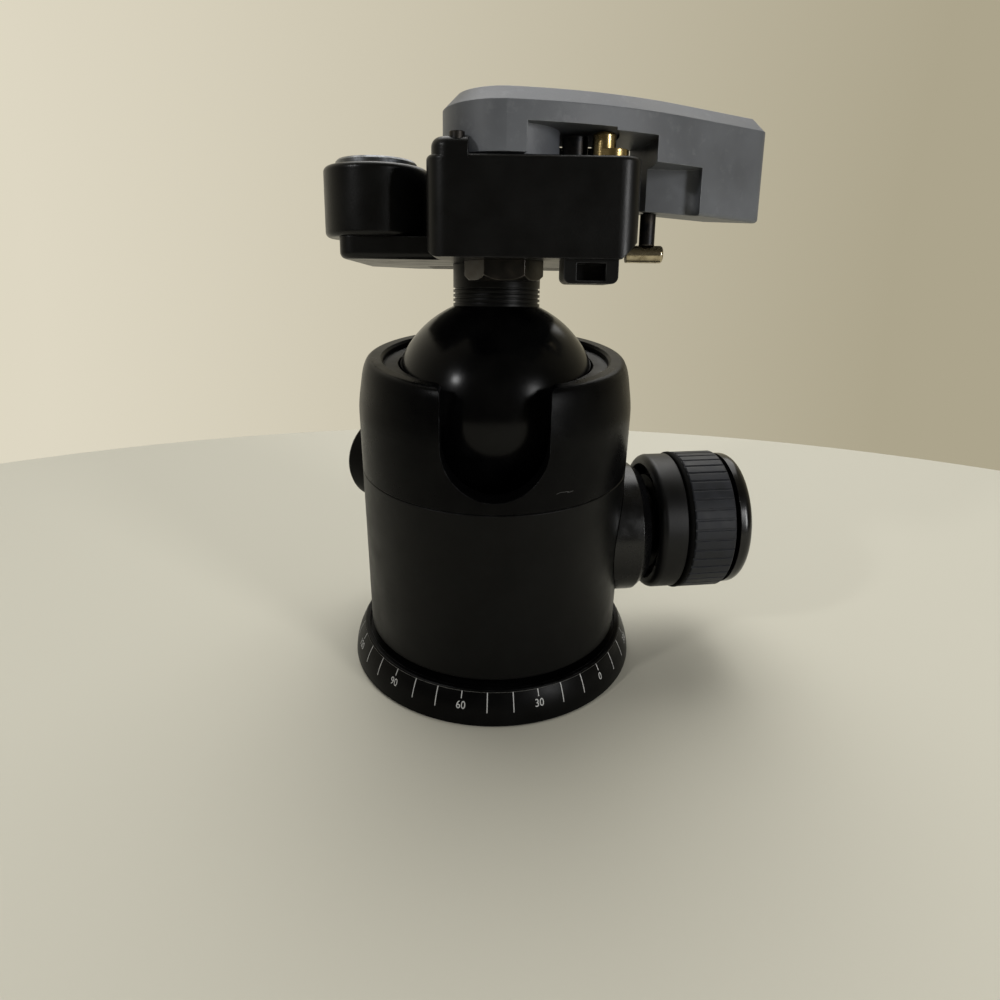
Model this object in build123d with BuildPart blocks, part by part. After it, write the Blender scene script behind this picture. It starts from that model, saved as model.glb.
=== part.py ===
from build123d import *
import os
from math import cos, radians, sin, sqrt

# Tripod ball head with a pan dial, a drop slot, two locking knobs and a lever clamp for a camera plate.
# Millimetres. The origin is the centre of the base's bottom face, on the pan axis, and +Z is up.
# The head stands leaned back, so everything above the ball is drawn on a plane that leans with it.

# ---------------------------------------------------------------- driving dimensions

# Fits between pieces
run_fit = 0.05          # radial play of a shaft or a piston in its bore
bolt_play = 0.1         # radial play of a screw in a plain hole
slip_gap = 0.1          # play between flat faces that turn on each other
seat_gap = 0.3          # film between the ball and its seats
swing_gap = 0.3         # room between pieces that swing past each other

# Base, pan dial and pan pivot
dial_foot_r = 33.15     # outer radius of the dial where it stands
dial_mid_r = 32.6       # outer radius at the foot of the scale
dial_mid_z = 3.3
dial_rim_r = 30.68      # outer radius at the top of the scale
dial_height = 7.6
dial_rim_width = 1.1
dial_edge = 0.4
dial_break = 0.2        # bevel round the dial's top
flange_r = 29.6         # base plate's foot, inside the dial
flange_height = 3.0
deck_r = 25.2           # raised deck that the housing turns on
deck_z = 6.9
hub_r = 11.0            # pan pivot
bush_r = 6.5
bush_length = 12.0
bush_head_r = 8.5
bush_head = 1.5
tripod_minor_r = 3.97   # wall of a 3/8-16 tapped hole
washer_r = 18.0         # pan washer's outer radius
retainer_r = 14.0
retainer_height = 2.5
retainer_screw_r = 1.1
retainer_screw_head_r = 2.0
retainer_screw_circle = 8.8
retainer_screws_n = 3
dial_screw_r = 1.2
dial_screw_head_r = 2.2
dial_screw_circle = 27.4
dial_screws_n = 4
dial_screw_bite = 3.0   # length of the screws' threads in the piece they hold
retainer_screw_bite = 4.0

# Housing
body_r = 29.0
pan_gap = 1.3           # shadow gap between dial and housing
floor_z = 19.6          # top of the housing's floor
seam_z = 47.5           # joint between housing and collar
seam_gap = 0.2
cup_bore_r = 18.06
ledge_z = 37.4          # ledge that carries the wave washer
ledge_bore_r = 15.1
spigot_r = 26.4         # collar's spigot in the housing
spigot_depth = 4.0
grub_r = 1.25
grub_length = 3.0
grub_sink = 0.6         # how far the grub screws sit below the surface
grub_bite = 1.2         # depth of their seats in the collar
grub_angles = (75, 170)

# Ball and stem
ball_r = 22.0
ball_z = 60.8
stem_r = 9.0
stem_top = 28.4         # clamp's underside above the ball's centre
stem_tenon_r = 6.0
stem_tenon_depth = 10.0
stem_groove = 0.35
stem_grooves_n = 4

# Collar round the ball
collar_bore_r = 24.7
collar_lip_r = 23.57
collar_top_z = 71.1
collar_draw = 11.1      # the wall draws in over this length
collar_swell = (0.7, 5.1)       # how far inside the body, and below the top, its curve passes
collar_rim_r = 27.2
collar_lip_height = 1.4
liner_length = 8.1
slot_r = 10.2           # half width of the drop slot, and its foot's radius
slot_drop = 0.6         # how far its foot's centre lies below the ball's
slot_corner = 1.2

# Lower cup, wave washer and lock
cup_r = 18.0
cup_top_z = 46.6
cup_neck_r = 7.0
cup_neck_foot_z = 25.0
cup_waist_r = 13.6
cup_waist_z = 37.3
wave_washer = 0.7
plunger_r = 3.6
plunger_tip_r = 1.6
plunger_tip = 3.5
plunger_tip_x = 1.5
plunger_tail_x = 35.6
plunger_room = 3.0      # room behind it in the spindle

# Main knob
knob_angle = 7.4        # the knob's axis, round from the right towards the back
knob_z = 30.5
boss_r = 15.1
boss_z = 29.6           # the boss sits a little low round the knob's axis
boss_ridge_x = 31.5     # this and the lengths below run along the knob's axis
boss_end_x = 33.8
boss_end_r = 13.4
boss_spigot_r = 9.0
boss_spigot_x = 20.0
boss_sink = 6.0         # how far it wraps back round the housing
spindle_r = 6.0
spindle_end_x = 45.6
clip_x = 21.0
clip_r = 7.8
clip_width = 1.0
thrust_r = 8.2
thrust_width = 2.0
core_start_x = 36.4
core_neck_r = 11.0
dial_band_x = 35.3      # rim of the friction dial's skirt
dial_band_width = 6.2
dial_band_r = 15.8
band_edge = 0.3
skirt_round = 1.5
skirt_wall = 1.3
skirt_depth = 3.6
ring_seat_r = 13.9
knob_ring_r = 16.2
knob_ring_round = 0.5
grip_x = 42.8
grip_width = 9.5
grip_r = 16.1
grip_seat_r = 13.2
grip_ribs_n = 44
grip_rib_depth = 0.25
cap_x = 53.4
cap_width = 3.4
cap_r = 15.5
cap_round = 2.2
cap_spigot = 1.2        # length of the core's spigot that centres the cap
cap_spigot_step = 1.5
cap_dish = 0.5          # depth of the shallow dish in its end
core_web_x = 45.6
core_web = 2.5
knob_screw_r = 2.0
knob_screw_head_r = 3.6
knob_screw_bite = 5.0

# Pan lock knob, at the back left
pan_knob_angle = 135.0
pan_knob_z = 37.0
pan_knob_r = 11.3
pan_knob_start = 31.0
pan_knob_width = 11.0
pan_knob_edge = 1.4
pan_screw_r = 3.0
pan_screw_tip = 21.0
pan_screw_cone = 2.5    # length of its wedge that presses on the brake pin
pan_screw_cover = 4.0   # metal over its end in the knob
pan_inlay_r = 7.5
pan_inlay = 0.8
brake_circle = 22.6
brake_pin_r = 1.9
brake_foot_r = 2.4
brake_foot = 1.3

# Leaned head: u is to the right, v is to the back, w is up the stem from the ball's centre
lean = 10.0
clamp_foot = stem_top
slab_top = 32.4
seat_w = 44.8           # top of the clamp's wall, above the ball's centre
wall_front_v = -29.0
wall_left_u = -12.2
clamp_right_u = 24.3
clamp_back_v = 28.0
slab_left_u = -29.4
slab_front_v = -17.5
slab_corner = 10.0
slab_front_round = 3.0
slab_low_round = 1.2
pad = 0.4               # height of the seat's raised pad
pad_front_v = -4.8
pad_back_v = 19.0
pad_side = 1.0
well_lip = ((10.5, -8.4), (20.5, -5.9))     # low lip in front of the pad
well_lip_height = 4.6
jaw_foot_v = 22.0       # fixed jaw's face at the pad
jaw_lean = 2.4
jaw_height = 8.2
wall_corner = 3.8       # rounding of its two front corners
wall_low_chamfer = 3.0
wall_rim = 0.8          # rounding of the wall's top edge
wall_low_round = 2.0
rib_slots_v = (12.0, 18.0, 24.0)
rib_slot_width = 2.4
rib_slot_depth = 1.6
rib_slot_end = 4.0

# Lever, its pivot and what stands on the clamp's wall
pivot = (1.3, -17.2)
pivot_r = 4.0
pivot_head_r = 6.6
pivot_head = 1.6
nut_corner_r = 7.3
nut_height = 3.6
nut_chamfer = 0.9
lever_rise = 10.8       # lever's top above the wall
lever_hub_r = 11.2
lever_drop = 9.8        # deeper than any of the lever, which is cut off along a sloping plane
lever_under = (33.0, -17.8)     # where that plane meets the front
lever_under_drop = 7.7          # how far below the wall's top it is there
lever_under_rise = (-0.07, 0.07)        # its rise per millimetre to the right and to the back
lever_front_mid = (18.5, -24.6)
lever_front_end = (32.9, -17.8)
lever_tip = (52.45, -5.75)
lever_heel = (44.5, 8.0)
lever_notch = (29.6, 4.9)
lever_back_u = 25.2
lever_core_r = 9.6      # hub inside the swept groove
lever_steps = ((20.0, 5.2), (26.8, 4.7))        # radius and ceiling of each swept step
lever_ceiling = 0.4     # ceiling of the recess in its front, above the wall
recess_right_u = 37.3
recess_back_v = -12.5
recess_corner = 2.0
lever_groove = (-72.0, 104.0)
lever_edge = 2.5        # bevel round its top
lever_low_edge = 0.7
lever_tip_r = 3.0
lever_washer = 0.25
spring_pocket_r = 7.2
spring_pocket_depth = 5.4
spring_wire_r = 0.55
spring_coil_r = 5.7
spring_turns = 3.0
stop_post = (13.6, -18.0)
stop_post_r = 2.3
stop_post_height = 4.5
lug_inset = 0.9         # from the wall's left end
lug_length = 6.3
lug_corner = 3.0
lug_depth = 4.0
lug_height = 2.7
lug_foot = 1.0          # how far it reaches down past the wall's rounded edge
lug_round = 1.6
lug_gap = 0.5
post_root = 3.8         # depth to which the posts are pressed in
post_root_share = 0.6   # their width there
stop_pin = (-6.9, -27.3)
stop_pin_r = 1.3
stop_pin_height = 3.4

# Trigger that the plate presses down
trigger = (18.4, -21.0)
trigger_r = 2.05
trigger_rise = 4.2      # trigger's top above its tongue
trigger_tail_r = 1.2
trigger_depth = 5.3     # how far its thick part goes down the bore
trigger_tail = 12.2
tongue_tip = (19.9, -20.6)
tongue_r = 2.9
tongue_lift = 0.6       # gap between the tongue and the wall
tongue = 1.4
trigger_travel = 2.5
trigger_spring_r = 1.95
trigger_wire_r = 0.3
trigger_bore_r = 2.6
block_left_u = 11.5
block_right_u = 20.9
block_front_v = -28.2
block_back_v = -17.6
block_foot = 24.3
block_round = 1.2       # its lower corners
block_recess = (5.0, 2.9, 4.0)  # width, height and depth of the opening in its front
block_rim = 0.5         # metal left under that opening

# Safety catch under the lever
catch = (29.2, -8.0)
catch_r = 1.5
catch_journal_r = 1.0
catch_journal = 4.0
catch_gap = 0.25        # between its shoulder and the lever's sloping underside
catch_drop = 6.0        # catch's foot below the lever
catch_pin_r = 1.65
catch_pin_inner_u = 25.2
catch_pin_outer_u = 32.4

# Bull's-eye level
level = (-23.05, -9.0)
level_boss_r = 9.9
level_boss_height = 12.6
level_bezel_r = 7.6
level_bezel_rise = 1.3
level_bezel_wall = 1.1
level_well = 6.7        # depth of the bezel's seat in the boss
level_web = 1.0         # thickness of the bezel's floor
level_lens = 1.7
bubble_r = 2.1
bubble_height = 0.9
level_screw_r = 1.5
level_screw_head_r = 2.7

# Clamp screw in the stem
clamp_screw_r = 3.9
clamp_screw_head_r = 6.4
clamp_screw_head = 5.5
clamp_screw_sink = 8.8  # depth of its head's seat
hex_socket_r = 2.9
hex_socket_depth = 2.6

# ---------------------------------------------------------------- places worked out from them

body_foot_z = dial_height + pan_gap
hub_top_z = floor_z + slip_gap
seat_r = ball_r + seat_gap
lever_top = seat_w + lever_rise
lever_foot = seat_w - lever_drop
outer_ceiling = seat_w + lever_ceiling
spring_pocket_w = seat_w - spring_pocket_depth
lug_top = seat_w + lug_height
jaw_top = seat_w + jaw_height
tongue_w = seat_w + tongue_lift
trigger_foot = seat_w - trigger_depth
catch_top = (seat_w - lever_under_drop + lever_under_rise[0] * (catch[0] - lever_under[0])
             + lever_under_rise[1] * (catch[1] - lever_under[1]) - catch_gap)
catch_foot = catch_top + catch_gap - catch_drop
clamp_screw_seat = seat_w - clamp_screw_sink
level_boss_top = slab_top + level_boss_height
level_floor = level_boss_top - level_well
collar_round_z = collar_top_z - collar_draw

knob_direction = Vector(cos(radians(knob_angle)), sin(radians(knob_angle)), 0)
knob_plane = Plane(origin=(0, 0, knob_z), x_dir=knob_direction, z_dir=knob_direction.cross(Vector(0, 0, 1)))
knob_axis = Axis(origin=(0, 0, knob_z), direction=knob_direction)
knob_cross = Plane(origin=(0, 0, knob_z), x_dir=-knob_plane.z_dir, z_dir=knob_direction)
boss_plane = Plane(origin=(0, 0, boss_z), x_dir=knob_direction, z_dir=knob_plane.z_dir)
boss_axis = Axis(origin=(0, 0, boss_z), direction=knob_direction)
pan_direction = (cos(radians(pan_knob_angle)), sin(radians(pan_knob_angle)), 0)
pan_plane = Plane(origin=(0, 0, pan_knob_z), x_dir=(0, 0, 1), z_dir=pan_direction)
brake_place = (brake_circle * pan_direction[0], brake_circle * pan_direction[1])
head_plane = Plane(origin=(0, 0, ball_z), x_dir=(1, 0, 0),
                   z_dir=(0, sin(radians(lean)), cos(radians(lean))))
side_plane = Plane(origin=(0, 0, ball_z), x_dir=head_plane.y_dir, z_dir=head_plane.x_dir)
front_plane = Plane(origin=(0, 0, ball_z), x_dir=head_plane.x_dir, z_dir=-head_plane.y_dir)
upright = Axis(origin=(0, 0, 0), direction=head_plane.z_dir)
rearward = Axis(origin=(0, 0, 0), direction=head_plane.y_dir)


def head(w):
    """Plane across the stem, at a height above the ball's centre."""
    return head_plane.offset(w)


def turn(points, plane=Plane.XZ, axis=Axis.Z, mode=Mode.ADD):
    """Turn a closed outline about an axis, as on a lathe."""
    with BuildSketch(plane) as outline:
        with BuildLine():
            Polyline(*points, close=True)
        make_face()
    revolve(outline.sketch, axis=axis, mode=mode)


def disc(plane, radius, height, place=(0, 0), inner=0, mode=Mode.ADD):
    """Round boss, hole or ring of a height above a plane."""
    with BuildSketch(plane) as outline:
        with Locations(place):
            Circle(radius)
            if inner > 0:
                Circle(inner, mode=Mode.SUBTRACT)
    extrude(outline.sketch, amount=height, mode=mode)


def countersunk(plane, places, shank_r, head_r, length):
    """Countersunk screws: flat heads on a plane, shanks along its normal."""
    for place in places:
        with BuildSketch(plane) as flat:
            with Locations(place):
                Circle(head_r)
        with BuildSketch(plane.offset(head_r - shank_r)) as neck:
            with Locations(place):
                Circle(shank_r)
        loft([flat.sketch, neck.sketch])
        disc(plane.offset(head_r - shank_r), shank_r, length - head_r + shank_r, place)


def countersinks(plane, places, shank_r, head_r, length):
    """Holes for such screws, with play round the shank."""
    for place in places:
        with BuildSketch(plane) as flat:
            with Locations(place):
                Circle(head_r + bolt_play)
        with BuildSketch(plane.offset(head_r - shank_r)) as neck:
            with Locations(place):
                Circle(shank_r + bolt_play)
        loft([flat.sketch, neck.sketch], mode=Mode.SUBTRACT)
        disc(plane, shank_r + bolt_play, length + bolt_play, place, mode=Mode.SUBTRACT)


def ring_places(count, radius, start=0.0):
    """Places round a circle."""
    angles = [radians(start + 360 * i / count) for i in range(count)]
    return [(radius * cos(a), radius * sin(a)) for a in angles]


def coil(plane, place, coil_r, wire_r, height, turns):
    """Wound spring: a round wire on a helix that stands on a plane."""
    centre = plane.from_local_coords(Vector(place[0], place[1], wire_r))
    pitch = (height - 2 * wire_r) / turns
    path = Helix(pitch, height - 2 * wire_r, coil_r, center=centre, direction=plane.z_dir)
    with BuildSketch(Plane(origin=path @ 0, z_dir=path % 0)) as wire:
        Circle(wire_r)
    sweep(wire.sketch, path=path, is_frenet=True)


os.makedirs("parts", exist_ok=True)

# ---------------------------------------------------------------- base

base_holes = ring_places(dial_screws_n, dial_screw_circle, 45)
retainer_holes = ring_places(retainer_screws_n, retainer_screw_circle, 90)
dial_screw_length = flange_height + dial_screw_bite
retainer_screw_length = retainer_height + retainer_screw_bite
up_from_foot = Plane.XY
down_from_retainer = Plane(origin=(0, 0, hub_top_z + retainer_height), x_dir=(1, 0, 0), z_dir=(0, 0, -1))
retainer_holes_down = [(x, -y) for x, y in retainer_holes]

with BuildPart() as base_plate:
    turn([(bush_r, 0), (flange_r, 0), (flange_r, flange_height), (deck_r, flange_height), (deck_r, deck_z),
          (hub_r, deck_z), (hub_r, hub_top_z), (bush_r, hub_top_z)])
    disc(Plane.XY, bush_head_r + bolt_play, bush_head, mode=Mode.SUBTRACT)
    countersinks(up_from_foot, base_holes, dial_screw_r, dial_screw_head_r, dial_screw_length)
    countersinks(down_from_retainer, retainer_holes_down, retainer_screw_r, retainer_screw_head_r,
                 retainer_screw_length)
base_plate.part.label = "base_plate"
export_step(base_plate.part, "parts/base_plate.step")

with BuildPart() as tripod_thread_bush:
    disc(Plane.XY, bush_r, bush_length)
    disc(Plane.XY, bush_head_r, bush_head)
    disc(Plane.XY, tripod_minor_r, bush_length, mode=Mode.SUBTRACT)
tripod_thread_bush.part.label = "tripod_thread_bush"
export_step(tripod_thread_bush.part, "parts/tripod_thread_bush.step")

with BuildPart() as pan_dial_ring:
    with BuildSketch(Plane.XZ) as dial_profile:
        with BuildLine():
            slope = ThreePointArc((dial_foot_r, dial_edge), (dial_mid_r, dial_mid_z),
                                  (dial_rim_r, dial_height - dial_break))
            Polyline(slope @ 1, (dial_rim_r - dial_break, dial_height),
                     (dial_rim_r - dial_rim_width, dial_height), (dial_rim_r - dial_rim_width, deck_z),
                     (deck_r + bolt_play, deck_z), (deck_r + bolt_play, flange_height),
                     (flange_r + bolt_play, flange_height), (flange_r + bolt_play, 0),
                     (dial_foot_r - dial_edge, 0), slope @ 0)
        make_face()
    revolve(dial_profile.sketch, axis=Axis.Z)
    for place in base_holes:
        disc(Plane.XY.offset(flange_height), dial_screw_r + bolt_play,
             dial_screw_length - flange_height + bolt_play, place, mode=Mode.SUBTRACT)
pan_dial_ring.part.label = "pan_dial_ring"
export_step(pan_dial_ring.part, "parts/pan_dial_ring.step")

with BuildPart() as dial_screws:
    countersunk(up_from_foot, base_holes, dial_screw_r, dial_screw_head_r, dial_screw_length)
dial_screws.part.label = "dial_screws"
export_step(dial_screws.part, "parts/dial_screws.step")

with BuildPart() as pan_washer:
    disc(Plane.XY.offset(deck_z), washer_r, body_foot_z - deck_z - slip_gap, inner=hub_r + bolt_play)
pan_washer.part.label = "pan_washer"
export_step(pan_washer.part, "parts/pan_washer.step")

with BuildPart() as pan_retainer:
    disc(Plane.XY.offset(hub_top_z), retainer_r, retainer_height, inner=bush_r)
    countersinks(down_from_retainer, retainer_holes_down, retainer_screw_r, retainer_screw_head_r,
                 retainer_screw_length)
pan_retainer.part.label = "pan_retainer"
export_step(pan_retainer.part, "parts/pan_retainer.step")

with BuildPart() as retainer_screws:
    countersunk(down_from_retainer, retainer_holes_down, retainer_screw_r, retainer_screw_head_r,
                retainer_screw_length)
retainer_screws.part.label = "retainer_screws"
export_step(retainer_screws.part, "parts/retainer_screws.step")

# ---------------------------------------------------------------- housing

spigot_foot_z = seam_z - spigot_depth
grub_z = seam_z - spigot_depth / 2
grub_planes = [Plane(origin=((body_r + 1) * cos(radians(a)), (body_r + 1) * sin(radians(a)), grub_z),
                     x_dir=(0, 0, 1), z_dir=(-cos(radians(a)), -sin(radians(a)), 0)) for a in grub_angles]
pan_bore_foot = pan_screw_tip - slip_gap

with BuildPart() as housing_body:
    turn([(hub_r + run_fit, body_foot_z), (body_r - dial_edge, body_foot_z),
          (body_r, body_foot_z + dial_edge), (body_r, seam_z - seam_gap), (body_r - seam_gap, seam_z),
          (spigot_r + run_fit, seam_z), (spigot_r + run_fit, spigot_foot_z), (cup_bore_r, spigot_foot_z),
          (cup_bore_r, ledge_z), (ledge_bore_r, ledge_z), (ledge_bore_r, floor_z),
          (hub_r + run_fit, floor_z)])
    disc(knob_cross.offset(boss_spigot_x), boss_spigot_r + bolt_play, body_r, mode=Mode.SUBTRACT)
    disc(knob_cross, plunger_r + run_fit, body_r, mode=Mode.SUBTRACT)
    disc(pan_plane.offset(pan_bore_foot), pan_screw_r + run_fit, body_r, mode=Mode.SUBTRACT)
    disc(Plane.XY.offset(body_foot_z), brake_pin_r + run_fit, pan_knob_z - body_foot_z, brake_place,
         mode=Mode.SUBTRACT)
    disc(Plane.XY.offset(body_foot_z), brake_foot_r + bolt_play, brake_foot, brake_place,
         mode=Mode.SUBTRACT)
    for plane in grub_planes:
        disc(plane, grub_r, body_r + 1 - spigot_r + slip_gap, mode=Mode.SUBTRACT)
housing_body.part.label = "housing_body"
export_step(housing_body.part, "parts/housing_body.step")

with BuildPart() as upper_collar:
    with BuildSketch(Plane.XZ) as wall:
        with BuildLine():
            lip_foot_z = collar_top_z - collar_lip_height
            swell_in, swell_down = collar_swell
            inside = Polyline((collar_lip_r, lip_foot_z), (collar_bore_r, lip_foot_z),
                              (collar_bore_r, spigot_foot_z), (spigot_r, spigot_foot_z),
                              (spigot_r, seam_z), (body_r - seam_gap, seam_z),
                              (body_r, seam_z + seam_gap), (body_r, collar_round_z))
            shoulder = Spline(inside @ 1, (body_r - swell_in, collar_top_z - swell_down),
                              (collar_rim_r, collar_top_z - 0.9), tangents=((0, 1), (-0.55, 1)))
            crown = ThreePointArc(shoulder @ 1, (collar_rim_r - 0.6, collar_top_z - 0.2),
                                  (collar_rim_r - 1.5, collar_top_z))
            Polyline(crown @ 1, (collar_lip_r + 0.5, collar_top_z), (collar_lip_r, collar_top_z - 0.5),
                     (collar_lip_r, lip_foot_z))
        make_face()
    revolve(wall.sketch, axis=Axis.Z)
    with BuildSketch(Plane.XZ) as slot:
        with Locations((0, ball_z - slot_drop)):
            Circle(slot_r)
        with Locations((0, ball_z - slot_drop + slot_r)):
            Rectangle(2 * slot_r, 2 * slot_r)
        with BuildLine():
            mouth_z = collar_top_z - slot_corner
            mouth = [(slot_r, mouth_z), (slot_r + slot_corner, collar_top_z),
                     (slot_r + slot_corner, collar_top_z + 1)]
            Polyline(*mouth, *[(-x, z) for x, z in reversed(mouth)], close=True)
        make_face()
        for side in (-1, 1):
            with Locations((side * (slot_r + slot_corner), mouth_z)):
                Circle(slot_corner, mode=Mode.SUBTRACT)
    extrude(slot.sketch, amount=body_r + 1, mode=Mode.SUBTRACT)
    for plane in grub_planes:
        disc(plane.offset(body_r + 1 - spigot_r), grub_r, grub_bite, mode=Mode.SUBTRACT)
upper_collar.part.label = "upper_collar"
export_step(upper_collar.part, "parts/upper_collar.step")

with BuildPart() as collar_grub_screws:
    for plane in grub_planes:
        disc(plane.offset(1 + grub_sink), grub_r - run_fit, grub_length)
        with BuildSketch(plane.offset(1 + grub_sink)) as socket:
            RegularPolygon(grub_r * 0.55, 6)
        extrude(socket.sketch, amount=grub_length / 2, mode=Mode.SUBTRACT)
collar_grub_screws.part.label = "collar_grub_screws"
export_step(collar_grub_screws.part, "parts/collar_grub_screws.step")

with BuildPart() as collar_liner:
    liner_foot_z = collar_top_z - collar_lip_height - liner_length
    disc(Plane.XY.offset(liner_foot_z), collar_bore_r - run_fit, liner_length)
    with Locations((0, 0, ball_z)):
        Sphere(seat_r, mode=Mode.SUBTRACT)
    with BuildSketch(Plane.XZ) as gap:
        with Locations((0, ball_z)):
            Rectangle(2 * (slot_r + slot_corner), 4 * slot_r)
    extrude(gap.sketch, amount=body_r, mode=Mode.SUBTRACT)
collar_liner.part.label = "collar_liner"
export_step(collar_liner.part, "parts/collar_liner.step")

with BuildPart() as cup_wave_washer:
    disc(Plane.XY.offset(ledge_z), cup_r - slip_gap, wave_washer, inner=ledge_bore_r + slip_gap)
cup_wave_washer.part.label = "cup_wave_washer"
export_step(cup_wave_washer.part, "parts/cup_wave_washer.step")

with BuildPart() as knob_boss:
    turn([(boss_spigot_x, 0), (boss_spigot_x, boss_spigot_r), (body_r, boss_spigot_r), (body_r, 0)],
         knob_plane, knob_axis)
    turn([(body_r - boss_sink, 0), (body_r - boss_sink, boss_r), (boss_ridge_x, boss_r),
          (boss_end_x, boss_end_r), (boss_end_x, 0)], boss_plane, boss_axis)
    turn([(boss_spigot_x, 0), (boss_spigot_x, spindle_r + run_fit), (boss_end_x, spindle_r + run_fit),
          (boss_end_x, 0)], knob_plane, knob_axis, Mode.SUBTRACT)
    turn([(boss_spigot_x, 0), (boss_spigot_x, clip_r + 2 * slip_gap),
          (clip_x + clip_width + slip_gap, clip_r + 2 * slip_gap), (clip_x + clip_width + slip_gap, 0)],
         knob_plane, knob_axis, Mode.SUBTRACT)
    with BuildSketch(Plane.XY.offset(boss_z - boss_r)) as outside:
        Circle(body_r + run_fit)
    with BuildSketch(knob_cross) as spigot:
        Rectangle(4 * boss_r, 4 * boss_r)
        Circle(boss_spigot_r, mode=Mode.SUBTRACT)
    saddle = extrude(outside.sketch, amount=2 * boss_r, mode=Mode.PRIVATE)
    round_spigot = extrude(spigot.sketch, amount=body_r + 1, mode=Mode.PRIVATE)
    add(saddle & round_spigot, mode=Mode.SUBTRACT)
knob_boss.part.label = "knob_boss"
export_step(knob_boss.part, "parts/knob_boss.step")

# ---------------------------------------------------------------- ball lock: cup and plunger

with BuildPart() as lower_cup:
    turn([(0, cup_neck_foot_z), (cup_neck_r, cup_neck_foot_z), (cup_neck_r, cup_waist_z),
          (cup_waist_r, cup_waist_z), (cup_waist_r, ledge_z + wave_washer + slip_gap),
          (cup_r, ledge_z + wave_washer + slip_gap), (cup_r, cup_top_z), (0, cup_top_z)])
    with Locations((0, 0, ball_z)):
        Sphere(seat_r, mode=Mode.SUBTRACT)
    turn([(plunger_tip_x - 1, 0), (plunger_tip_x - 1, plunger_tip_r + 2 * seat_gap),
          (plunger_tip_x + plunger_tip, plunger_r + 2 * seat_gap),
          (cup_neck_r + 1, plunger_r + 2 * seat_gap), (cup_neck_r + 1, 0)], knob_plane, knob_axis,
         Mode.SUBTRACT)
lower_cup.part.label = "lower_cup"
export_step(lower_cup.part, "parts/lower_cup.step")

with BuildPart() as lock_plunger:
    turn([(plunger_tip_x, 0), (plunger_tip_x, plunger_tip_r), (plunger_tip_x + plunger_tip, plunger_r),
          (plunger_tail_x, plunger_r), (plunger_tail_x, 0)], knob_plane, knob_axis)
lock_plunger.part.label = "lock_plunger"
export_step(lock_plunger.part, "parts/lock_plunger.step")

# ---------------------------------------------------------------- main knob

spindle_start_x = boss_spigot_x + slip_gap * 4
thrust_x = boss_end_x + swing_gap
bore_end_x = plunger_tail_x + plunger_room
screw_foot_x = spindle_end_x - knob_screw_bite

with BuildPart() as knob_spindle:
    turn([(spindle_start_x, plunger_r + run_fit), (spindle_start_x, spindle_r), (thrust_x, spindle_r),
          (thrust_x, thrust_r), (thrust_x + thrust_width, thrust_r), (thrust_x + thrust_width, spindle_r),
          (spindle_end_x, spindle_r), (spindle_end_x, knob_screw_r + run_fit),
          (screw_foot_x, knob_screw_r + run_fit), (screw_foot_x, 0), (bore_end_x, 0),
          (bore_end_x, plunger_r + run_fit)], knob_plane, knob_axis)
    turn([(clip_x, spindle_r - 0.6), (clip_x, spindle_r + 1), (clip_x + clip_width, spindle_r + 1),
          (clip_x + clip_width, spindle_r - 0.6)], knob_plane, knob_axis, Mode.SUBTRACT)
knob_spindle.part.label = "knob_spindle"
export_step(knob_spindle.part, "parts/knob_spindle.step")

with BuildPart() as spindle_clip:
    turn([(clip_x, spindle_r - 0.6), (clip_x, clip_r), (clip_x + clip_width, clip_r),
          (clip_x + clip_width, spindle_r - 0.6)], knob_plane, knob_axis)
    with BuildSketch(knob_cross.offset(clip_x)) as clip_gap:
        with Locations((0, -clip_r)):
            Rectangle(clip_r / 2, clip_r)
    extrude(clip_gap.sketch, amount=clip_width, mode=Mode.SUBTRACT)
spindle_clip.part.label = "spindle_clip"
export_step(spindle_clip.part, "parts/spindle_clip.step")

grip_end_x = grip_x + grip_width
band_end_x = dial_band_x + dial_band_width
ring_start_x = band_end_x + slip_gap
head_x = core_web_x + core_web
cap_spigot_x = cap_x + cap_spigot
cap_spigot_r = grip_seat_r - cap_spigot_step

with BuildPart() as knob_core:
    turn([(core_start_x, spindle_r + run_fit), (core_start_x, core_neck_r), (ring_start_x, core_neck_r),
          (ring_start_x, ring_seat_r), (grip_x, ring_seat_r), (grip_x, grip_seat_r),
          (cap_x, grip_seat_r), (cap_x, cap_spigot_r), (cap_spigot_x, cap_spigot_r),
          (cap_spigot_x, spindle_r + 0.5), (head_x, spindle_r + 0.5), (head_x, knob_screw_r + bolt_play),
          (core_web_x, knob_screw_r + bolt_play), (core_web_x, spindle_r + run_fit)], knob_plane, knob_axis)
knob_core.part.label = "knob_core"
export_step(knob_core.part, "parts/knob_core.step")

with BuildPart() as friction_dial:
    with BuildSketch(knob_plane) as skirt:
        with BuildLine():
            shoulder = RadiusArc((dial_band_x, dial_band_r - skirt_round),
                                 (dial_band_x + skirt_round, dial_band_r), skirt_round)
            skirt_bore_r = dial_band_r - skirt_round - skirt_wall / 2
            Polyline(shoulder @ 1, (band_end_x - band_edge, dial_band_r),
                     (band_end_x, dial_band_r - band_edge), (band_end_x, core_neck_r + run_fit),
                     (dial_band_x + skirt_depth, core_neck_r + run_fit),
                     (dial_band_x + skirt_depth, skirt_bore_r), (dial_band_x, skirt_bore_r), shoulder @ 0)
        make_face()
    revolve(skirt.sketch, axis=knob_axis)
friction_dial.part.label = "friction_dial"
export_step(friction_dial.part, "parts/friction_dial.step")

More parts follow.
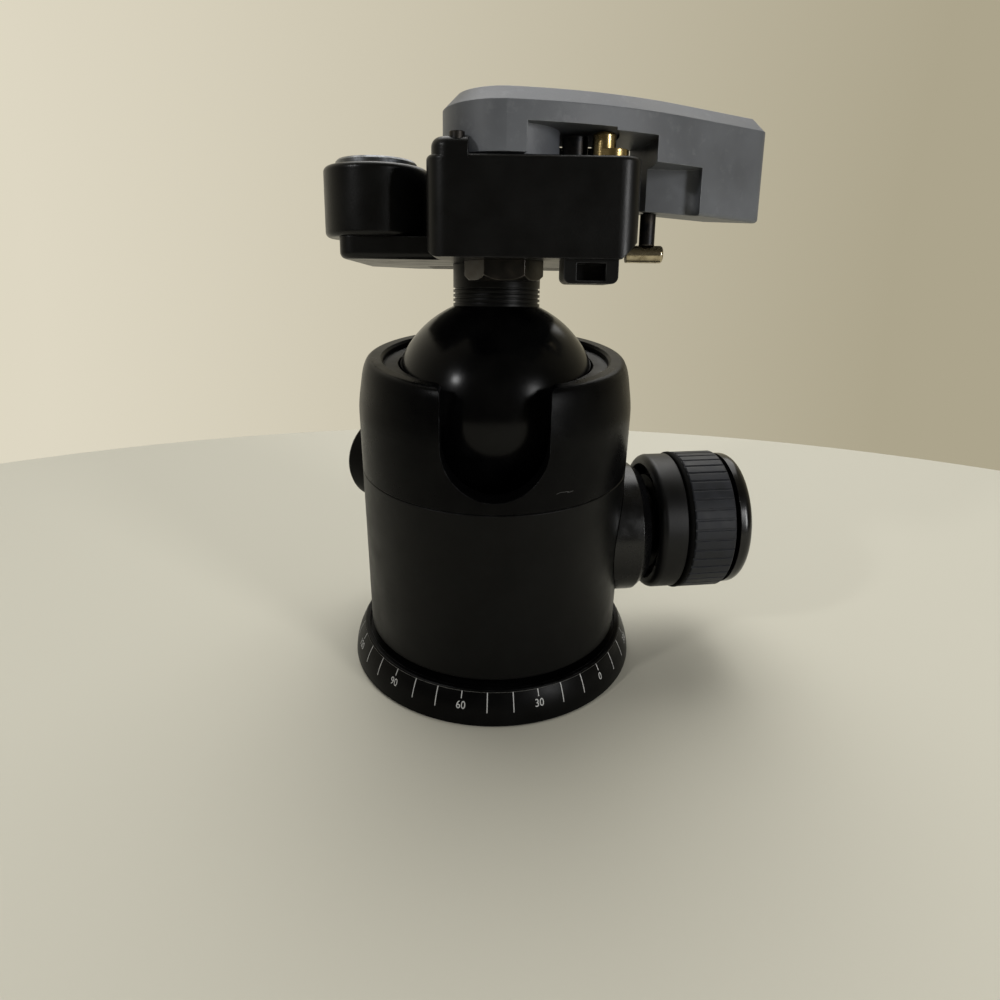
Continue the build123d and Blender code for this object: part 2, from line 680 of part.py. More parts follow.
with BuildPart() as knob_ring:
    turn([(ring_start_x, ring_seat_r + run_fit), (grip_x, ring_seat_r + run_fit), (grip_x, knob_ring_r),
          (ring_start_x, knob_ring_r)], knob_plane, knob_axis)
    crest = knob_ring.edges().filter_by(GeomType.CIRCLE).sort_by(SortBy.RADIUS)[-2:]
    fillet(crest, knob_ring_round)
knob_ring.part.label = "knob_ring"
export_step(knob_ring.part, "parts/knob_ring.step")

with BuildPart() as knob_grip:
    turn([(grip_x, grip_seat_r + run_fit), (grip_x, grip_r - band_edge), (grip_x + band_edge, grip_r),
          (grip_end_x - band_edge, grip_r), (grip_end_x, grip_r - band_edge),
          (grip_end_x, grip_seat_r + run_fit)], knob_plane, knob_axis)
    with BuildSketch(knob_cross.offset(grip_x)) as ribs:
        with PolarLocations(grip_r, grip_ribs_n):
            Rectangle(2 * grip_rib_depth, 2 * grip_rib_depth)
    extrude(ribs.sketch, amount=grip_width, mode=Mode.SUBTRACT)
knob_grip.part.label = "knob_grip"
export_step(knob_grip.part, "parts/knob_grip.step")

with BuildPart() as knob_cap:
    with BuildSketch(knob_plane) as dome:
        with BuildLine():
            cap_end_x = cap_x + cap_width
            cap_bore_r, cap_start_x = cap_spigot_r + slip_gap, cap_x + slip_gap
            back = Polyline((cap_spigot_x + slip_gap, 0), (cap_spigot_x + slip_gap, cap_bore_r),
                            (cap_start_x, cap_bore_r), (cap_start_x, cap_r), (cap_end_x - cap_round, cap_r))
            edge = RadiusArc(back @ 1, (cap_end_x, cap_r - cap_round), cap_round)
            Polyline(edge @ 1, (cap_end_x, cap_r * 0.6), (cap_end_x - cap_dish, cap_r * 0.55),
                     (cap_end_x - cap_dish, 0), (cap_spigot_x + slip_gap, 0))
        make_face()
    revolve(dome.sketch, axis=knob_axis)
knob_cap.part.label = "knob_cap"
export_step(knob_cap.part, "parts/knob_cap.step")

with BuildPart() as knob_screw:
    turn([(screw_foot_x + slip_gap, 0), (screw_foot_x + slip_gap, knob_screw_r), (head_x, knob_screw_r),
          (head_x, knob_screw_head_r), (head_x + 2 * knob_screw_r, knob_screw_head_r),
          (head_x + 2 * knob_screw_r, 0)], knob_plane, knob_axis)
    with BuildSketch(knob_cross.offset(head_x + knob_screw_r)) as socket:
        RegularPolygon(knob_screw_head_r / 2, 6)
    extrude(socket.sketch, amount=2 * knob_screw_r, mode=Mode.SUBTRACT)
knob_screw.part.label = "knob_screw"
export_step(knob_screw.part, "parts/knob_screw.step")

# ---------------------------------------------------------------- pan lock

pan_knob_end = pan_knob_start + pan_knob_width
pan_screw_end = pan_knob_end - pan_screw_cover
pan_axis = Axis(origin=(0, 0, pan_knob_z), direction=pan_direction)
pan_profile = Plane(origin=(0, 0, pan_knob_z), x_dir=pan_direction,
                    z_dir=Vector(pan_direction).cross(Vector(0, 0, 1)))

with BuildPart() as pan_knob_screw:
    turn([(pan_screw_tip, 0), (pan_screw_tip, pan_screw_r / 3),
          (pan_screw_tip + pan_screw_cone, pan_screw_r), (pan_screw_end, pan_screw_r),
          (pan_screw_end, 0)], pan_profile, pan_axis)
pan_knob_screw.part.label = "pan_knob_screw"
export_step(pan_knob_screw.part, "parts/pan_knob_screw.step")

with BuildPart() as pan_knob_head:
    neck_start = body_r + swing_gap
    turn([(neck_start, pan_screw_r + slip_gap), (neck_start, pan_screw_r * 2),
          (pan_knob_start, pan_screw_r * 2), (pan_knob_start, pan_knob_r - pan_knob_edge),
          (pan_knob_start + pan_knob_edge, pan_knob_r), (pan_knob_end - pan_knob_edge, pan_knob_r),
          (pan_knob_end - 0.4 * pan_knob_edge, pan_knob_r - 0.4),
          (pan_knob_end, pan_knob_r - pan_knob_edge), (pan_knob_end, pan_inlay_r + slip_gap),
          (pan_knob_end - pan_inlay, pan_inlay_r + slip_gap), (pan_knob_end - pan_inlay, 0),
          (pan_screw_end + slip_gap, 0), (pan_screw_end + slip_gap, pan_screw_r + slip_gap)],
         pan_profile, pan_axis)
pan_knob_head.part.label = "pan_knob_head"
export_step(pan_knob_head.part, "parts/pan_knob_head.step")

with BuildPart() as pan_knob_inlay:
    turn([(pan_knob_end - pan_inlay, 0), (pan_knob_end - pan_inlay, pan_inlay_r),
          (pan_knob_end - 0.2, pan_inlay_r), (pan_knob_end - 0.2, 0)], pan_profile, pan_axis)
pan_knob_inlay.part.label = "pan_knob_inlay"
export_step(pan_knob_inlay.part, "parts/pan_knob_inlay.step")

with BuildPart() as pan_brake_pin:
    brake_foot_z = deck_z + swing_gap
    disc(Plane.XY.offset(brake_foot_z), brake_foot_r, body_foot_z - brake_foot_z + brake_foot - swing_gap,
         brake_place)
    disc(Plane.XY.offset(brake_foot_z), brake_pin_r, pan_knob_z - pan_screw_r - swing_gap - brake_foot_z,
         brake_place)
pan_brake_pin.part.label = "pan_brake_pin"
export_step(pan_brake_pin.part, "parts/pan_brake_pin.step")

# ---------------------------------------------------------------- ball and stem

neck_w = sqrt(ball_r ** 2 - stem_r ** 2)
tenon_w = neck_w - stem_tenon_depth

with BuildPart() as ball:
    with Locations((0, 0, ball_z)):
        Sphere(ball_r)
    disc(head(neck_w), ball_r, ball_r, mode=Mode.SUBTRACT)
    disc(head(tenon_w), stem_tenon_r + run_fit, stem_tenon_depth, mode=Mode.SUBTRACT)
ball.part.label = "ball"
export_step(ball.part, "parts/ball.step")

with BuildPart() as stem:
    disc(head(neck_w), stem_r, stem_top - neck_w)
    disc(head(tenon_w), stem_tenon_r, stem_tenon_depth)
    for i in range(stem_grooves_n):
        disc(head(neck_w + 0.6 + 0.9 * i), stem_r, stem_groove, inner=stem_r - stem_groove,
             mode=Mode.SUBTRACT)
    disc(head(tenon_w + 2), clamp_screw_r + run_fit, stem_top - tenon_w - 2, mode=Mode.SUBTRACT)
stem.part.label = "stem"
export_step(stem.part, "parts/stem.step")

# ---------------------------------------------------------------- clamp

with BuildPart() as clamp_body:
    slab_right_u = wall_left_u + wall_low_round + 1
    with BuildSketch(head(clamp_foot)) as slab:
        with BuildLine():
            Polyline((slab_left_u, slab_front_v), (slab_right_u, slab_front_v),
                     (slab_right_u, clamp_back_v), (slab_left_u + slab_corner, clamp_back_v),
                     (slab_left_u, clamp_back_v - slab_corner), close=True)
        make_face()
        fillet(slab.vertices().sort_by(rearward)[:2].sort_by(Axis.X)[0], slab_front_round)
    extrude(slab.sketch, amount=slab_top - clamp_foot)
    fillet(clamp_body.edges().group_by(upright)[0].sort_by(Axis.X)[:-1], slab_low_round)
    block_place = ((wall_left_u + clamp_right_u) / 2, (wall_front_v + clamp_back_v) / 2)
    with BuildSketch(head(clamp_foot)) as plan:
        with Locations(block_place):
            Rectangle(clamp_right_u - wall_left_u, clamp_back_v - wall_front_v)
        fillet(plan.vertices().group_by(rearward)[0], wall_corner)
    with BuildSketch(front_plane.offset(-wall_front_v)) as face:
        with Locations((block_place[0], (clamp_foot + seat_w) / 2)):
            Rectangle(clamp_right_u - wall_left_u, seat_w - clamp_foot)
        chamfer(face.vertices().group_by(upright)[0].sort_by(Axis.X)[-1], wall_low_chamfer)
        fillet(face.vertices().group_by(upright)[0].sort_by(Axis.X)[0], wall_low_round)
    across = extrude(face.sketch, amount=wall_front_v - clamp_back_v, mode=Mode.PRIVATE)
    add(extrude(plan.sketch, amount=seat_w - clamp_foot, mode=Mode.PRIVATE) & across)
    front_rim = clamp_body.edges().group_by(upright)[-1].sort_by(rearward)[0]
    fillet(front_rim, wall_rim)
    with BuildSketch(head(seat_w)) as seat_pad:
        with Locations(((wall_left_u + clamp_right_u) / 2, (pad_front_v + pad_back_v) / 2)):
            Rectangle(clamp_right_u - wall_left_u - 2 * pad_side, pad_back_v - pad_front_v)
    extrude(seat_pad.sketch, amount=pad)
    with BuildSketch(head(seat_w)) as lip:
        with BuildLine():
            (lip_left, lip_front), (lip_right, lip_back) = well_lip
            Polyline((lip_left, lip_front), (lip_right, lip_front), (lip_right, lip_back),
                     (lip_left, lip_back), close=True)
        make_face()
    extrude(lip.sketch, amount=well_lip_height)
    with BuildSketch(side_plane.offset(wall_left_u)) as jaw:
        with BuildLine():
            Polyline((jaw_foot_v, seat_w), (jaw_foot_v - jaw_lean, jaw_top - 1),
                     (jaw_foot_v - jaw_lean + 1, jaw_top), (clamp_back_v - 1, jaw_top),
                     (clamp_back_v, jaw_top - 1), (clamp_back_v, seat_w), close=True)
        make_face()
    extrude(jaw.sketch, amount=clamp_right_u - wall_left_u)
    with BuildSketch(head(seat_w - lug_foot)) as lug:
        with Locations((wall_left_u + lug_inset + lug_length / 2, wall_front_v + lug_depth / 2)):
            Rectangle(lug_length, lug_depth)
        fillet(lug.vertices().group_by(rearward)[0].sort_by(Axis.X)[0], lug_corner)
    extrude(lug.sketch, amount=lug_foot + lug_height)
    fillet(clamp_body.edges().filter_by(GeomType.CIRCLE).sort_by(upright)[-1], lug_round)
    disc(head(seat_w), lever_hub_r + lug_gap, lug_height, pivot, mode=Mode.SUBTRACT)
    for v in rib_slots_v:
        with BuildSketch(head(clamp_foot)) as rib_slot:
            with Locations(((slab_left_u + slab_corner + clamp_right_u) / 2, v)):
                SlotOverall(clamp_right_u - slab_left_u - slab_corner - 2 * rib_slot_end, rib_slot_width)
        extrude(rib_slot.sketch, amount=rib_slot_depth, mode=Mode.SUBTRACT)
    disc(head(clamp_foot), pivot_r + bolt_play, seat_w - clamp_foot, pivot, mode=Mode.SUBTRACT)
    disc(head(spring_pocket_w), spring_pocket_r, spring_pocket_depth, pivot, mode=Mode.SUBTRACT)
    disc(head(clamp_foot), clamp_screw_r + bolt_play, seat_w - clamp_foot, mode=Mode.SUBTRACT)
    disc(head(clamp_screw_seat), clamp_screw_head_r + bolt_play, clamp_screw_sink, mode=Mode.SUBTRACT)
    root_hole = post_root + 2 * slip_gap
    disc(head(seat_w - root_hole), stop_post_r * post_root_share + run_fit, root_hole, stop_post,
         mode=Mode.SUBTRACT)
    disc(head(seat_w - root_hole), stop_pin_r + run_fit, lug_height + root_hole, stop_pin,
         mode=Mode.SUBTRACT)
    disc(head(clamp_foot), trigger_bore_r, trigger_foot + slip_gap - clamp_foot, trigger,
         mode=Mode.SUBTRACT)
    disc(head(clamp_foot), trigger_r + run_fit, seat_w - clamp_foot, trigger, mode=Mode.SUBTRACT)
    with BuildSketch(head(tongue_w - trigger_travel - swing_gap)) as pocket:
        with Locations(trigger):
            Circle(trigger_r + swing_gap)
        with Locations(tongue_tip):
            Circle(tongue_r + swing_gap)
        make_hull()
    extrude(pocket.sketch, amount=trigger_travel + swing_gap - tongue_lift, mode=Mode.SUBTRACT)
    countersinks(head(clamp_foot), [level], level_screw_r, level_screw_head_r, slab_top - clamp_foot + 1)
clamp_body.part.label = "clamp_body"
export_step(clamp_body.part, "parts/clamp_body.step")

with BuildPart() as clamp_screw:
    disc(head(tenon_w + 3), clamp_screw_r, clamp_screw_seat - tenon_w - 3)
    disc(head(clamp_screw_seat), clamp_screw_head_r, clamp_screw_head)
    with BuildSketch(head(clamp_screw_seat + clamp_screw_head - hex_socket_depth)) as socket:
        RegularPolygon(hex_socket_r, 6)
    extrude(socket.sketch, amount=hex_socket_depth, mode=Mode.SUBTRACT)
clamp_screw.part.label = "clamp_screw"
export_step(clamp_screw.part, "parts/clamp_screw.step")

with BuildPart() as pivot_bolt:
    disc(head(clamp_foot - nut_height), pivot_r, lever_top - clamp_foot + nut_height - pivot_head, pivot)
    disc(head(lever_top - pivot_head), pivot_head_r, pivot_head - slip_gap, pivot)
    with BuildSketch(head(lever_top - pivot_head)) as socket:
        with Locations(pivot):
            RegularPolygon(hex_socket_r, 6)
    extrude(socket.sketch, amount=pivot_head, mode=Mode.SUBTRACT)
pivot_bolt.part.label = "pivot_bolt"
export_step(pivot_bolt.part, "parts/pivot_bolt.step")

with BuildPart() as pivot_nut:
    with BuildSketch(head(clamp_foot - nut_height)) as hexagon:
        with Locations(pivot):
            RegularPolygon(nut_corner_r, 6)
            Circle(pivot_r, mode=Mode.SUBTRACT)
    extrude(hexagon.sketch, amount=nut_height)
    with BuildSketch(head(clamp_foot - nut_height)) as low:
        with Locations(pivot):
            Circle(nut_corner_r - nut_chamfer)
    cone = extrude(low.sketch, amount=nut_height, taper=-45, mode=Mode.PRIVATE)
    add(cone, mode=Mode.INTERSECT)
pivot_nut.part.label = "pivot_nut"
export_step(pivot_nut.part, "parts/pivot_nut.step")

with BuildPart() as pivot_washer:
    disc(head(seat_w), spring_pocket_r + 1.5, lever_washer, pivot, inner=pivot_r + bolt_play)
pivot_washer.part.label = "pivot_washer"
export_step(pivot_washer.part, "parts/pivot_washer.step")

with BuildPart() as lever_spring:
    coil(head(spring_pocket_w + slip_gap), pivot, spring_coil_r, spring_wire_r,
         spring_pocket_depth - 2 * slip_gap, spring_turns)
lever_spring.part.label = "lever_spring"
export_step(lever_spring.part, "parts/lever_spring.step")

with BuildPart() as lever_stop_post:
    disc(head(seat_w), stop_post_r, stop_post_height, stop_post)
    disc(head(seat_w - post_root), stop_post_r * post_root_share, post_root, stop_post)
lever_stop_post.part.label = "lever_stop_post"
export_step(lever_stop_post.part, "parts/lever_stop_post.step")

with BuildPart() as spring_anchor_pin:
    disc(head(seat_w - post_root), stop_pin_r, stop_pin_height + post_root, stop_pin)
spring_anchor_pin.part.label = "spring_anchor_pin"
export_step(spring_anchor_pin.part, "parts/spring_anchor_pin.step")

# ---------------------------------------------------------------- trigger

with BuildPart() as trigger_pin:
    disc(head(trigger_foot), trigger_r, trigger_depth + tongue_lift + trigger_rise, trigger)
    fillet(trigger_pin.edges().sort_by(upright)[-1], 0.6)
    disc(head(trigger_foot - trigger_tail), trigger_tail_r, trigger_tail, trigger)
    with BuildSketch(head(tongue_w)) as arm:
        with Locations(trigger):
            Circle(trigger_r)
        with Locations(tongue_tip):
            Circle(tongue_r)
        make_hull()
    extrude(arm.sketch, amount=tongue)
trigger_pin.part.label = "trigger_pin"
export_step(trigger_pin.part, "parts/trigger_pin.step")

with BuildPart() as trigger_spring:
    coil(head(clamp_foot + slip_gap), trigger, trigger_spring_r, trigger_wire_r,
         trigger_foot - clamp_foot - 2 * slip_gap, 7)
trigger_spring.part.label = "trigger_spring"
export_step(trigger_spring.part, "parts/trigger_spring.step")

with BuildPart() as trigger_block:
    block_u = (block_left_u + block_right_u) / 2
    recess_width, recess_height, recess_depth = block_recess
    with BuildSketch(front_plane.offset(-block_front_v)) as face:
        with Locations((block_u, (block_foot + clamp_foot) / 2)):
            Rectangle(block_right_u - block_left_u, clamp_foot - block_foot)
        fillet(face.vertices().group_by(upright)[0], block_round)
        with Locations((block_u, block_foot + block_rim + recess_height / 2)):
            Rectangle(recess_width, recess_height, mode=Mode.SUBTRACT)
    extrude(face.sketch, amount=-recess_depth)
    with BuildSketch(front_plane.offset(-block_front_v - recess_depth)) as back:
        with Locations((block_u, (block_foot + clamp_foot) / 2)):
            Rectangle(block_right_u - block_left_u, clamp_foot - block_foot)
        fillet(back.vertices().group_by(upright)[0], block_round)
    extrude(back.sketch, amount=block_front_v + recess_depth - block_back_v)
    disc(head(block_foot), trigger_tail_r + run_fit, clamp_foot - block_foot, trigger, mode=Mode.SUBTRACT)
trigger_block.part.label = "trigger_block"
export_step(trigger_block.part, "parts/trigger_block.step")

# ---------------------------------------------------------------- level

with BuildPart() as level_boss:
    disc(head(slab_top), level_boss_r, level_boss_top - slab_top, level)
    rims = level_boss.edges().filter_by(GeomType.CIRCLE)
    fillet(rims, 1.0)
    disc(head(level_floor), level_bezel_r + run_fit, level_well, level, mode=Mode.SUBTRACT)
    disc(head(slab_top), level_screw_r + bolt_play, 3.2, level, mode=Mode.SUBTRACT)
level_boss.part.label = "level_boss"
export_step(level_boss.part, "parts/level_boss.step")

with BuildPart() as level_boss_screw:
    countersunk(head(clamp_foot), [level], level_screw_r, level_screw_head_r, slab_top - clamp_foot + 3)
level_boss_screw.part.label = "level_boss_screw"
export_step(level_boss_screw.part, "parts/level_boss_screw.step")

lens_r = level_bezel_r - level_bezel_wall
lens_sink = 0.3
lens_top = level_boss_top + level_bezel_rise - lens_sink
fluid_top = lens_top - level_lens

with BuildPart() as level_bezel:
    disc(head(level_floor), level_bezel_r, level_well + level_bezel_rise, level)
    chamfer(level_bezel.edges().sort_by(upright)[-1], 0.4)
    disc(head(level_floor + level_web), lens_r, level_well + level_bezel_rise, level, mode=Mode.SUBTRACT)
level_bezel.part.label = "level_bezel"
export_step(level_bezel.part, "parts/level_bezel.step")

with BuildPart() as level_lens_disc:
    disc(head(fluid_top), lens_r - slip_gap / 2, level_lens, level)
level_lens_disc.part.label = "level_lens"
export_step(level_lens_disc.part, "parts/level_lens.step")

with BuildPart() as level_fluid:
    disc(head(level_floor + level_web), lens_r - slip_gap / 2, fluid_top - level_floor - level_web, level)
    disc(head(fluid_top - bubble_height), bubble_r, bubble_height, level, mode=Mode.SUBTRACT)
level_fluid.part.label = "level_fluid"
export_step(level_fluid.part, "parts/level_fluid.step")

with BuildPart() as level_bubble:
    disc(head(fluid_top - bubble_height + run_fit), bubble_r - run_fit, bubble_height - 2 * run_fit, level)
level_bubble.part.label = "level_bubble"
export_step(level_bubble.part, "parts/level_bubble.step")

# ---------------------------------------------------------------- lever

with BuildPart() as lever:
    with BuildSketch(head(lever_foot)) as plan:
        with BuildLine():
            nose = (pivot[0], pivot[1] - lever_hub_r)
            hub_back = (pivot[0], pivot[1] + lever_hub_r)
            front = ThreePointArc(nose, lever_front_mid, lever_front_end)
            Polyline(front @ 1, lever_tip, lever_heel, lever_notch, (lever_back_u, hub_back[1]), hub_back)
            ThreePointArc(hub_back, (pivot[0] - lever_hub_r, pivot[1]), nose)
        make_face()
    extrude(plan.sketch, amount=lever_rise + lever_drop)
    rise_u, rise_v = lever_under_rise
    under = head_plane.from_local_coords(Vector(*lever_under, seat_w - lever_under_drop))
    split(bisect_by=Plane(origin=under, z_dir=head_plane.z_dir - head_plane.x_dir * rise_u
                          - head_plane.y_dir * rise_v))
    fillet(lever.edges().filter_by(upright).sort_by(Axis.X)[-1], lever_tip_r)
    chamfer(lever.faces().sort_by(upright)[-1].outer_wire().edges(), lever_edge)
    fillet(lever.faces().sort_by(upright)[0].outer_wire().edges(), lever_low_edge)
    inner_r = lever_steps[-1][0]
    with BuildSketch(head(lever_foot)) as hollow:
        with Locations(pivot):
            Circle(inner_r)
        with Locations(((pivot[0] + recess_right_u) / 2, recess_back_v - inner_r / 2)):
            recess = Rectangle(recess_right_u - pivot[0], inner_r, mode=Mode.PRIVATE)
        recess_end = recess.vertices().group_by(rearward)[-1].sort_by(Axis.X)[-1]
        add(recess)
        fillet([v for v in hollow.vertices() if (v.center() - recess_end.center()).length < slip_gap],
               recess_corner)
    extrude(hollow.sketch, amount=outer_ceiling - lever_foot, mode=Mode.SUBTRACT)
    reach = 2 * recess_right_u
    for step_r, ceiling in lever_steps:
        with BuildSketch(head(outer_ceiling)) as sector:
            with Locations(pivot):
                Circle(step_r)
                Circle(lever_core_r, mode=Mode.SUBTRACT)
            with BuildLine():
                angles = [lever_groove[0] + (lever_groove[1] - lever_groove[0]) * i / 4 for i in range(5)]
                Polyline(pivot, *[(pivot[0] + reach * cos(radians(a)), pivot[1] + reach * sin(radians(a)))
                                  for a in angles], close=True)
            make_face(mode=Mode.INTERSECT)
        extrude(sector.sketch, amount=seat_w + ceiling - outer_ceiling, mode=Mode.SUBTRACT)
    disc(head(lever_foot), pivot_r + run_fit, lever_rise + lever_drop, pivot, mode=Mode.SUBTRACT)
    disc(head(lever_top - pivot_head - slip_gap), pivot_head_r + swing_gap, pivot_head + slip_gap, pivot,
         mode=Mode.SUBTRACT)
    disc(head(lever_foot), catch_journal_r + run_fit, catch_top + catch_journal - lever_foot, catch,
         mode=Mode.SUBTRACT)
lever.part.label = "lever"
export_step(lever.part, "parts/lever.step")

# ---------------------------------------------------------------- safety catch

with BuildPart() as catch_post:
    disc(head(catch_foot), catch_r, catch_top - catch_foot, catch)
    disc(head(catch_foot), catch_journal_r, catch_top + catch_journal - slip_gap - catch_foot, catch)
    disc(head(catch_foot - catch_pin_r), catch_journal_r * 0.6, catch_pin_r, catch)
catch_post.part.label = "catch_post"
export_step(catch_post.part, "parts/catch_post.step")

with BuildPart() as catch_pin:
    pin_w = catch_foot - catch_pin_r
    with BuildSketch(side_plane.offset(catch_pin_inner_u)) as round_bar:
        with Locations((catch[1], pin_w)):
            Circle(catch_pin_r)
    extrude(round_bar.sketch, amount=catch_pin_outer_u - catch_pin_inner_u)
    fillet(catch_pin.edges().sort_by(Axis.X)[-1], 0.6)
    disc(head(catch_foot - catch_pin_r), catch_journal_r * 0.6 + run_fit, catch_pin_r + 1, catch,
         mode=Mode.SUBTRACT)
catch_pin.part.label = "catch_pin"
export_step(catch_pin.part, "parts/catch_pin.step")
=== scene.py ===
"""Finishes for a tripod ball head with a lever clamp, set on a plain pale table."""

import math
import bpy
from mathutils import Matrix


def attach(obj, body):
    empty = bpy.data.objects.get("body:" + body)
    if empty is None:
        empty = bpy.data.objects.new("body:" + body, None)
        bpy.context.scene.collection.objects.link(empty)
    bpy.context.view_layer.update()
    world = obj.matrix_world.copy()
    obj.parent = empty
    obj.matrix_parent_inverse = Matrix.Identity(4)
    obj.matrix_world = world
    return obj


bl_info = {
    "name": "Tripod Ball Head",
    "version": (1, 0, 0),
    "blender": (4, 5, 0),
    "location": "View3D > Sidebar > Ball Head",
    "description": "Gives a tripod ball head its finishes, dial marks and table",
    "category": "Object",
}

import bmesh
import bpy
from bpy.props import FloatProperty, FloatVectorProperty, IntProperty, PointerProperty
from mathutils import Matrix, Vector

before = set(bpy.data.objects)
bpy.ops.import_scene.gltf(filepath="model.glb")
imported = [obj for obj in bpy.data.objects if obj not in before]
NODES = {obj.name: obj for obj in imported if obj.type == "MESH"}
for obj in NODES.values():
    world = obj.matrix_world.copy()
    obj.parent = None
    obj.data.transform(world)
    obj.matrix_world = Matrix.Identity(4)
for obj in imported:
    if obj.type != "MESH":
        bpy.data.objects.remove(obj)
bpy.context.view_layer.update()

MM = 0.001

PRINT_LIFT = 0.03 * MM
TICK_SPANS = 6
RIM_SPANS = 240
DIAL_RADIUS = 32 * MM
FONT_SIZE_OF_NUMBER = 1.4
NUMBER_WIDTH_SHARE = 0.86
NUMBER_HEIGHT_SHARE = 0.92

SCRATCH_LIFT = 0.02 * MM
SCRATCH_WIDTH = 0.07 * MM
SCRATCH_SPANS = 4
SCRATCHES = (
    {"x": 12.4, "z": 51.3, "length": 1.9, "slope": -0.1},
    {"x": 14.0, "z": 50.9, "length": 1.2, "slope": 0.1},
    {"x": 11.8, "z": 51.0, "length": 0.6, "slope": 0.3},
)

OUTSIDE = 50 * MM
HEAD_MIDDLE = Vector((0, 0, 70 * MM))

TABLE_RADIUS = 0.42
TABLE_SIDES = 160
TABLE_CENTRE = (0.01, -0.262, -0.05 * MM)

ROOM_SHARE = 0.75
DIM_IN_FRONT = 0.12
SUN_WIDTH = math.radians(45)
SUN_DIRECTION = Vector((0.14, -0.55, -1.0))
SKYLIGHT = {"where": Vector((0.08, 0.30, 0.40)), "width": 0.4, "height": 0.4}
WINDOW = {"where": Vector((0.46, -0.45, 0.24)), "width": 0.12, "height": 0.30}
BULB = {"where": Vector((-0.36, -0.29, 0.36)), "width": 0.04, "height": 0.04}

CAMERA_PLACE = Vector((-0.24, -158.19, 110.37)) * MM
CAMERA_PITCH = math.radians(24.731)
CAMERA_YAW = math.radians(0.586)
CAMERA_ROLL = math.radians(0.915)


# ---------------------------------------------------------------- colours and nodes


def linear(colour):
    """Linear colour with full alpha from an sRGB hex value."""
    channels = [int(colour[i : i + 2], 16) / 255 for i in (1, 3, 5)]
    return tuple(c / 12.92 if c <= 0.04045 else ((c + 0.055) / 1.055) ** 2.4 for c in channels) + (1.0,)


def add_node(tree, kind, settings=None, **inputs):
    """Add a node, set its properties, and set or link its inputs (a key such as _0 is an input's number)."""
    node = tree.nodes.new(kind)
    for key, value in (settings or {}).items():
        setattr(node, key, value)
    for key, value in inputs.items():
        name = int(key[1:]) if key[0] == "_" else key.replace("_", " ")
        if isinstance(value, bpy.types.NodeSocket):
            tree.links.new(value, node.inputs[name])
        else:
            node.inputs[name].default_value = value
    return node


def per(size_mm):
    """Texture scale at which one cell of a pattern is a size in millimetres."""
    return 1 / (size_mm * MM)


def new_material(name):
    """Empty node material with its output and a shader."""
    material = bpy.data.materials.new(name)
    material.use_nodes = True
    tree = material.node_tree
    tree.nodes.clear()
    output = add_node(tree, "ShaderNodeOutputMaterial")
    shader = add_node(tree, "ShaderNodeBsdfPrincipled")
    tree.links.new(shader.outputs["BSDF"], output.inputs["Surface"])
    return material, tree, shader


def place(tree):
    """Position on the object, in metres."""
    return add_node(tree, "ShaderNodeTexCoord").outputs["Object"]


def noise(tree, at, size_mm, detail=3.0, rough=0.55):
    """Cloudy value from 0 to 1 with cells of a size."""
    node = add_node(tree, "ShaderNodeTexNoise", Vector=at, Scale=per(size_mm), Detail=detail, Roughness=rough)
    return node.outputs["Fac"]


def spread(tree, value, low, high, to_low=0.0, to_high=1.0):
    """Value stretched from one range to another and held there."""
    node = add_node(tree, "ShaderNodeMapRange", Value=value, From_Min=low, From_Max=high, To_Min=to_low,
                    To_Max=to_high)
    return node.outputs["Result"]


def multiply(tree, a, b):
    """Product of two values."""
    return add_node(tree, "ShaderNodeMath", {"operation": "MULTIPLY"}, _0=a, _1=b).outputs["Value"]


def blend(tree, share, a, b):
    """Colour between two colours."""
    node = add_node(tree, "ShaderNodeMix", {"data_type": "RGBA"}, _0=share, _6=a, _7=b)
    return node.outputs[2]


def softened(tree, radius_mm):
    """Normal that turns round every sharp edge within a radius."""
    return add_node(tree, "ShaderNodeBevel", {"samples": 6}, Radius=radius_mm * MM).outputs["Normal"]


def worn_edges(tree, at, width_mm, low=0.80, high=0.97):
    """Share of lighter colour along sharp edges: rub wear, broken up as handling breaks it, and partly a
    painted edge highlight.

    It is full where the rounded normal leans from the flat one by a cosine of low, and ends at high.
    """
    rounded = softened(tree, width_mm)
    flat = add_node(tree, "ShaderNodeNewGeometry").outputs["Normal"]
    turn = add_node(tree, "ShaderNodeVectorMath", {"operation": "DOT_PRODUCT"}, _0=rounded, _1=flat)
    edge = spread(tree, turn.outputs["Value"], high, low)
    return multiply(tree, edge, spread(tree, noise(tree, at, 2.2, 4.0, 0.65), 0.4, 0.62))


def bump(tree, height, depth_mm, round_mm=0.25):
    """Normal of a surface with a relief of a depth and with its edges softly broken."""
    return add_node(tree, "ShaderNodeBump", Height=height, Distance=depth_mm * MM, Strength=1.0,
                    Normal=softened(tree, round_mm)).outputs["Normal"]


# ---------------------------------------------------------------- finishes


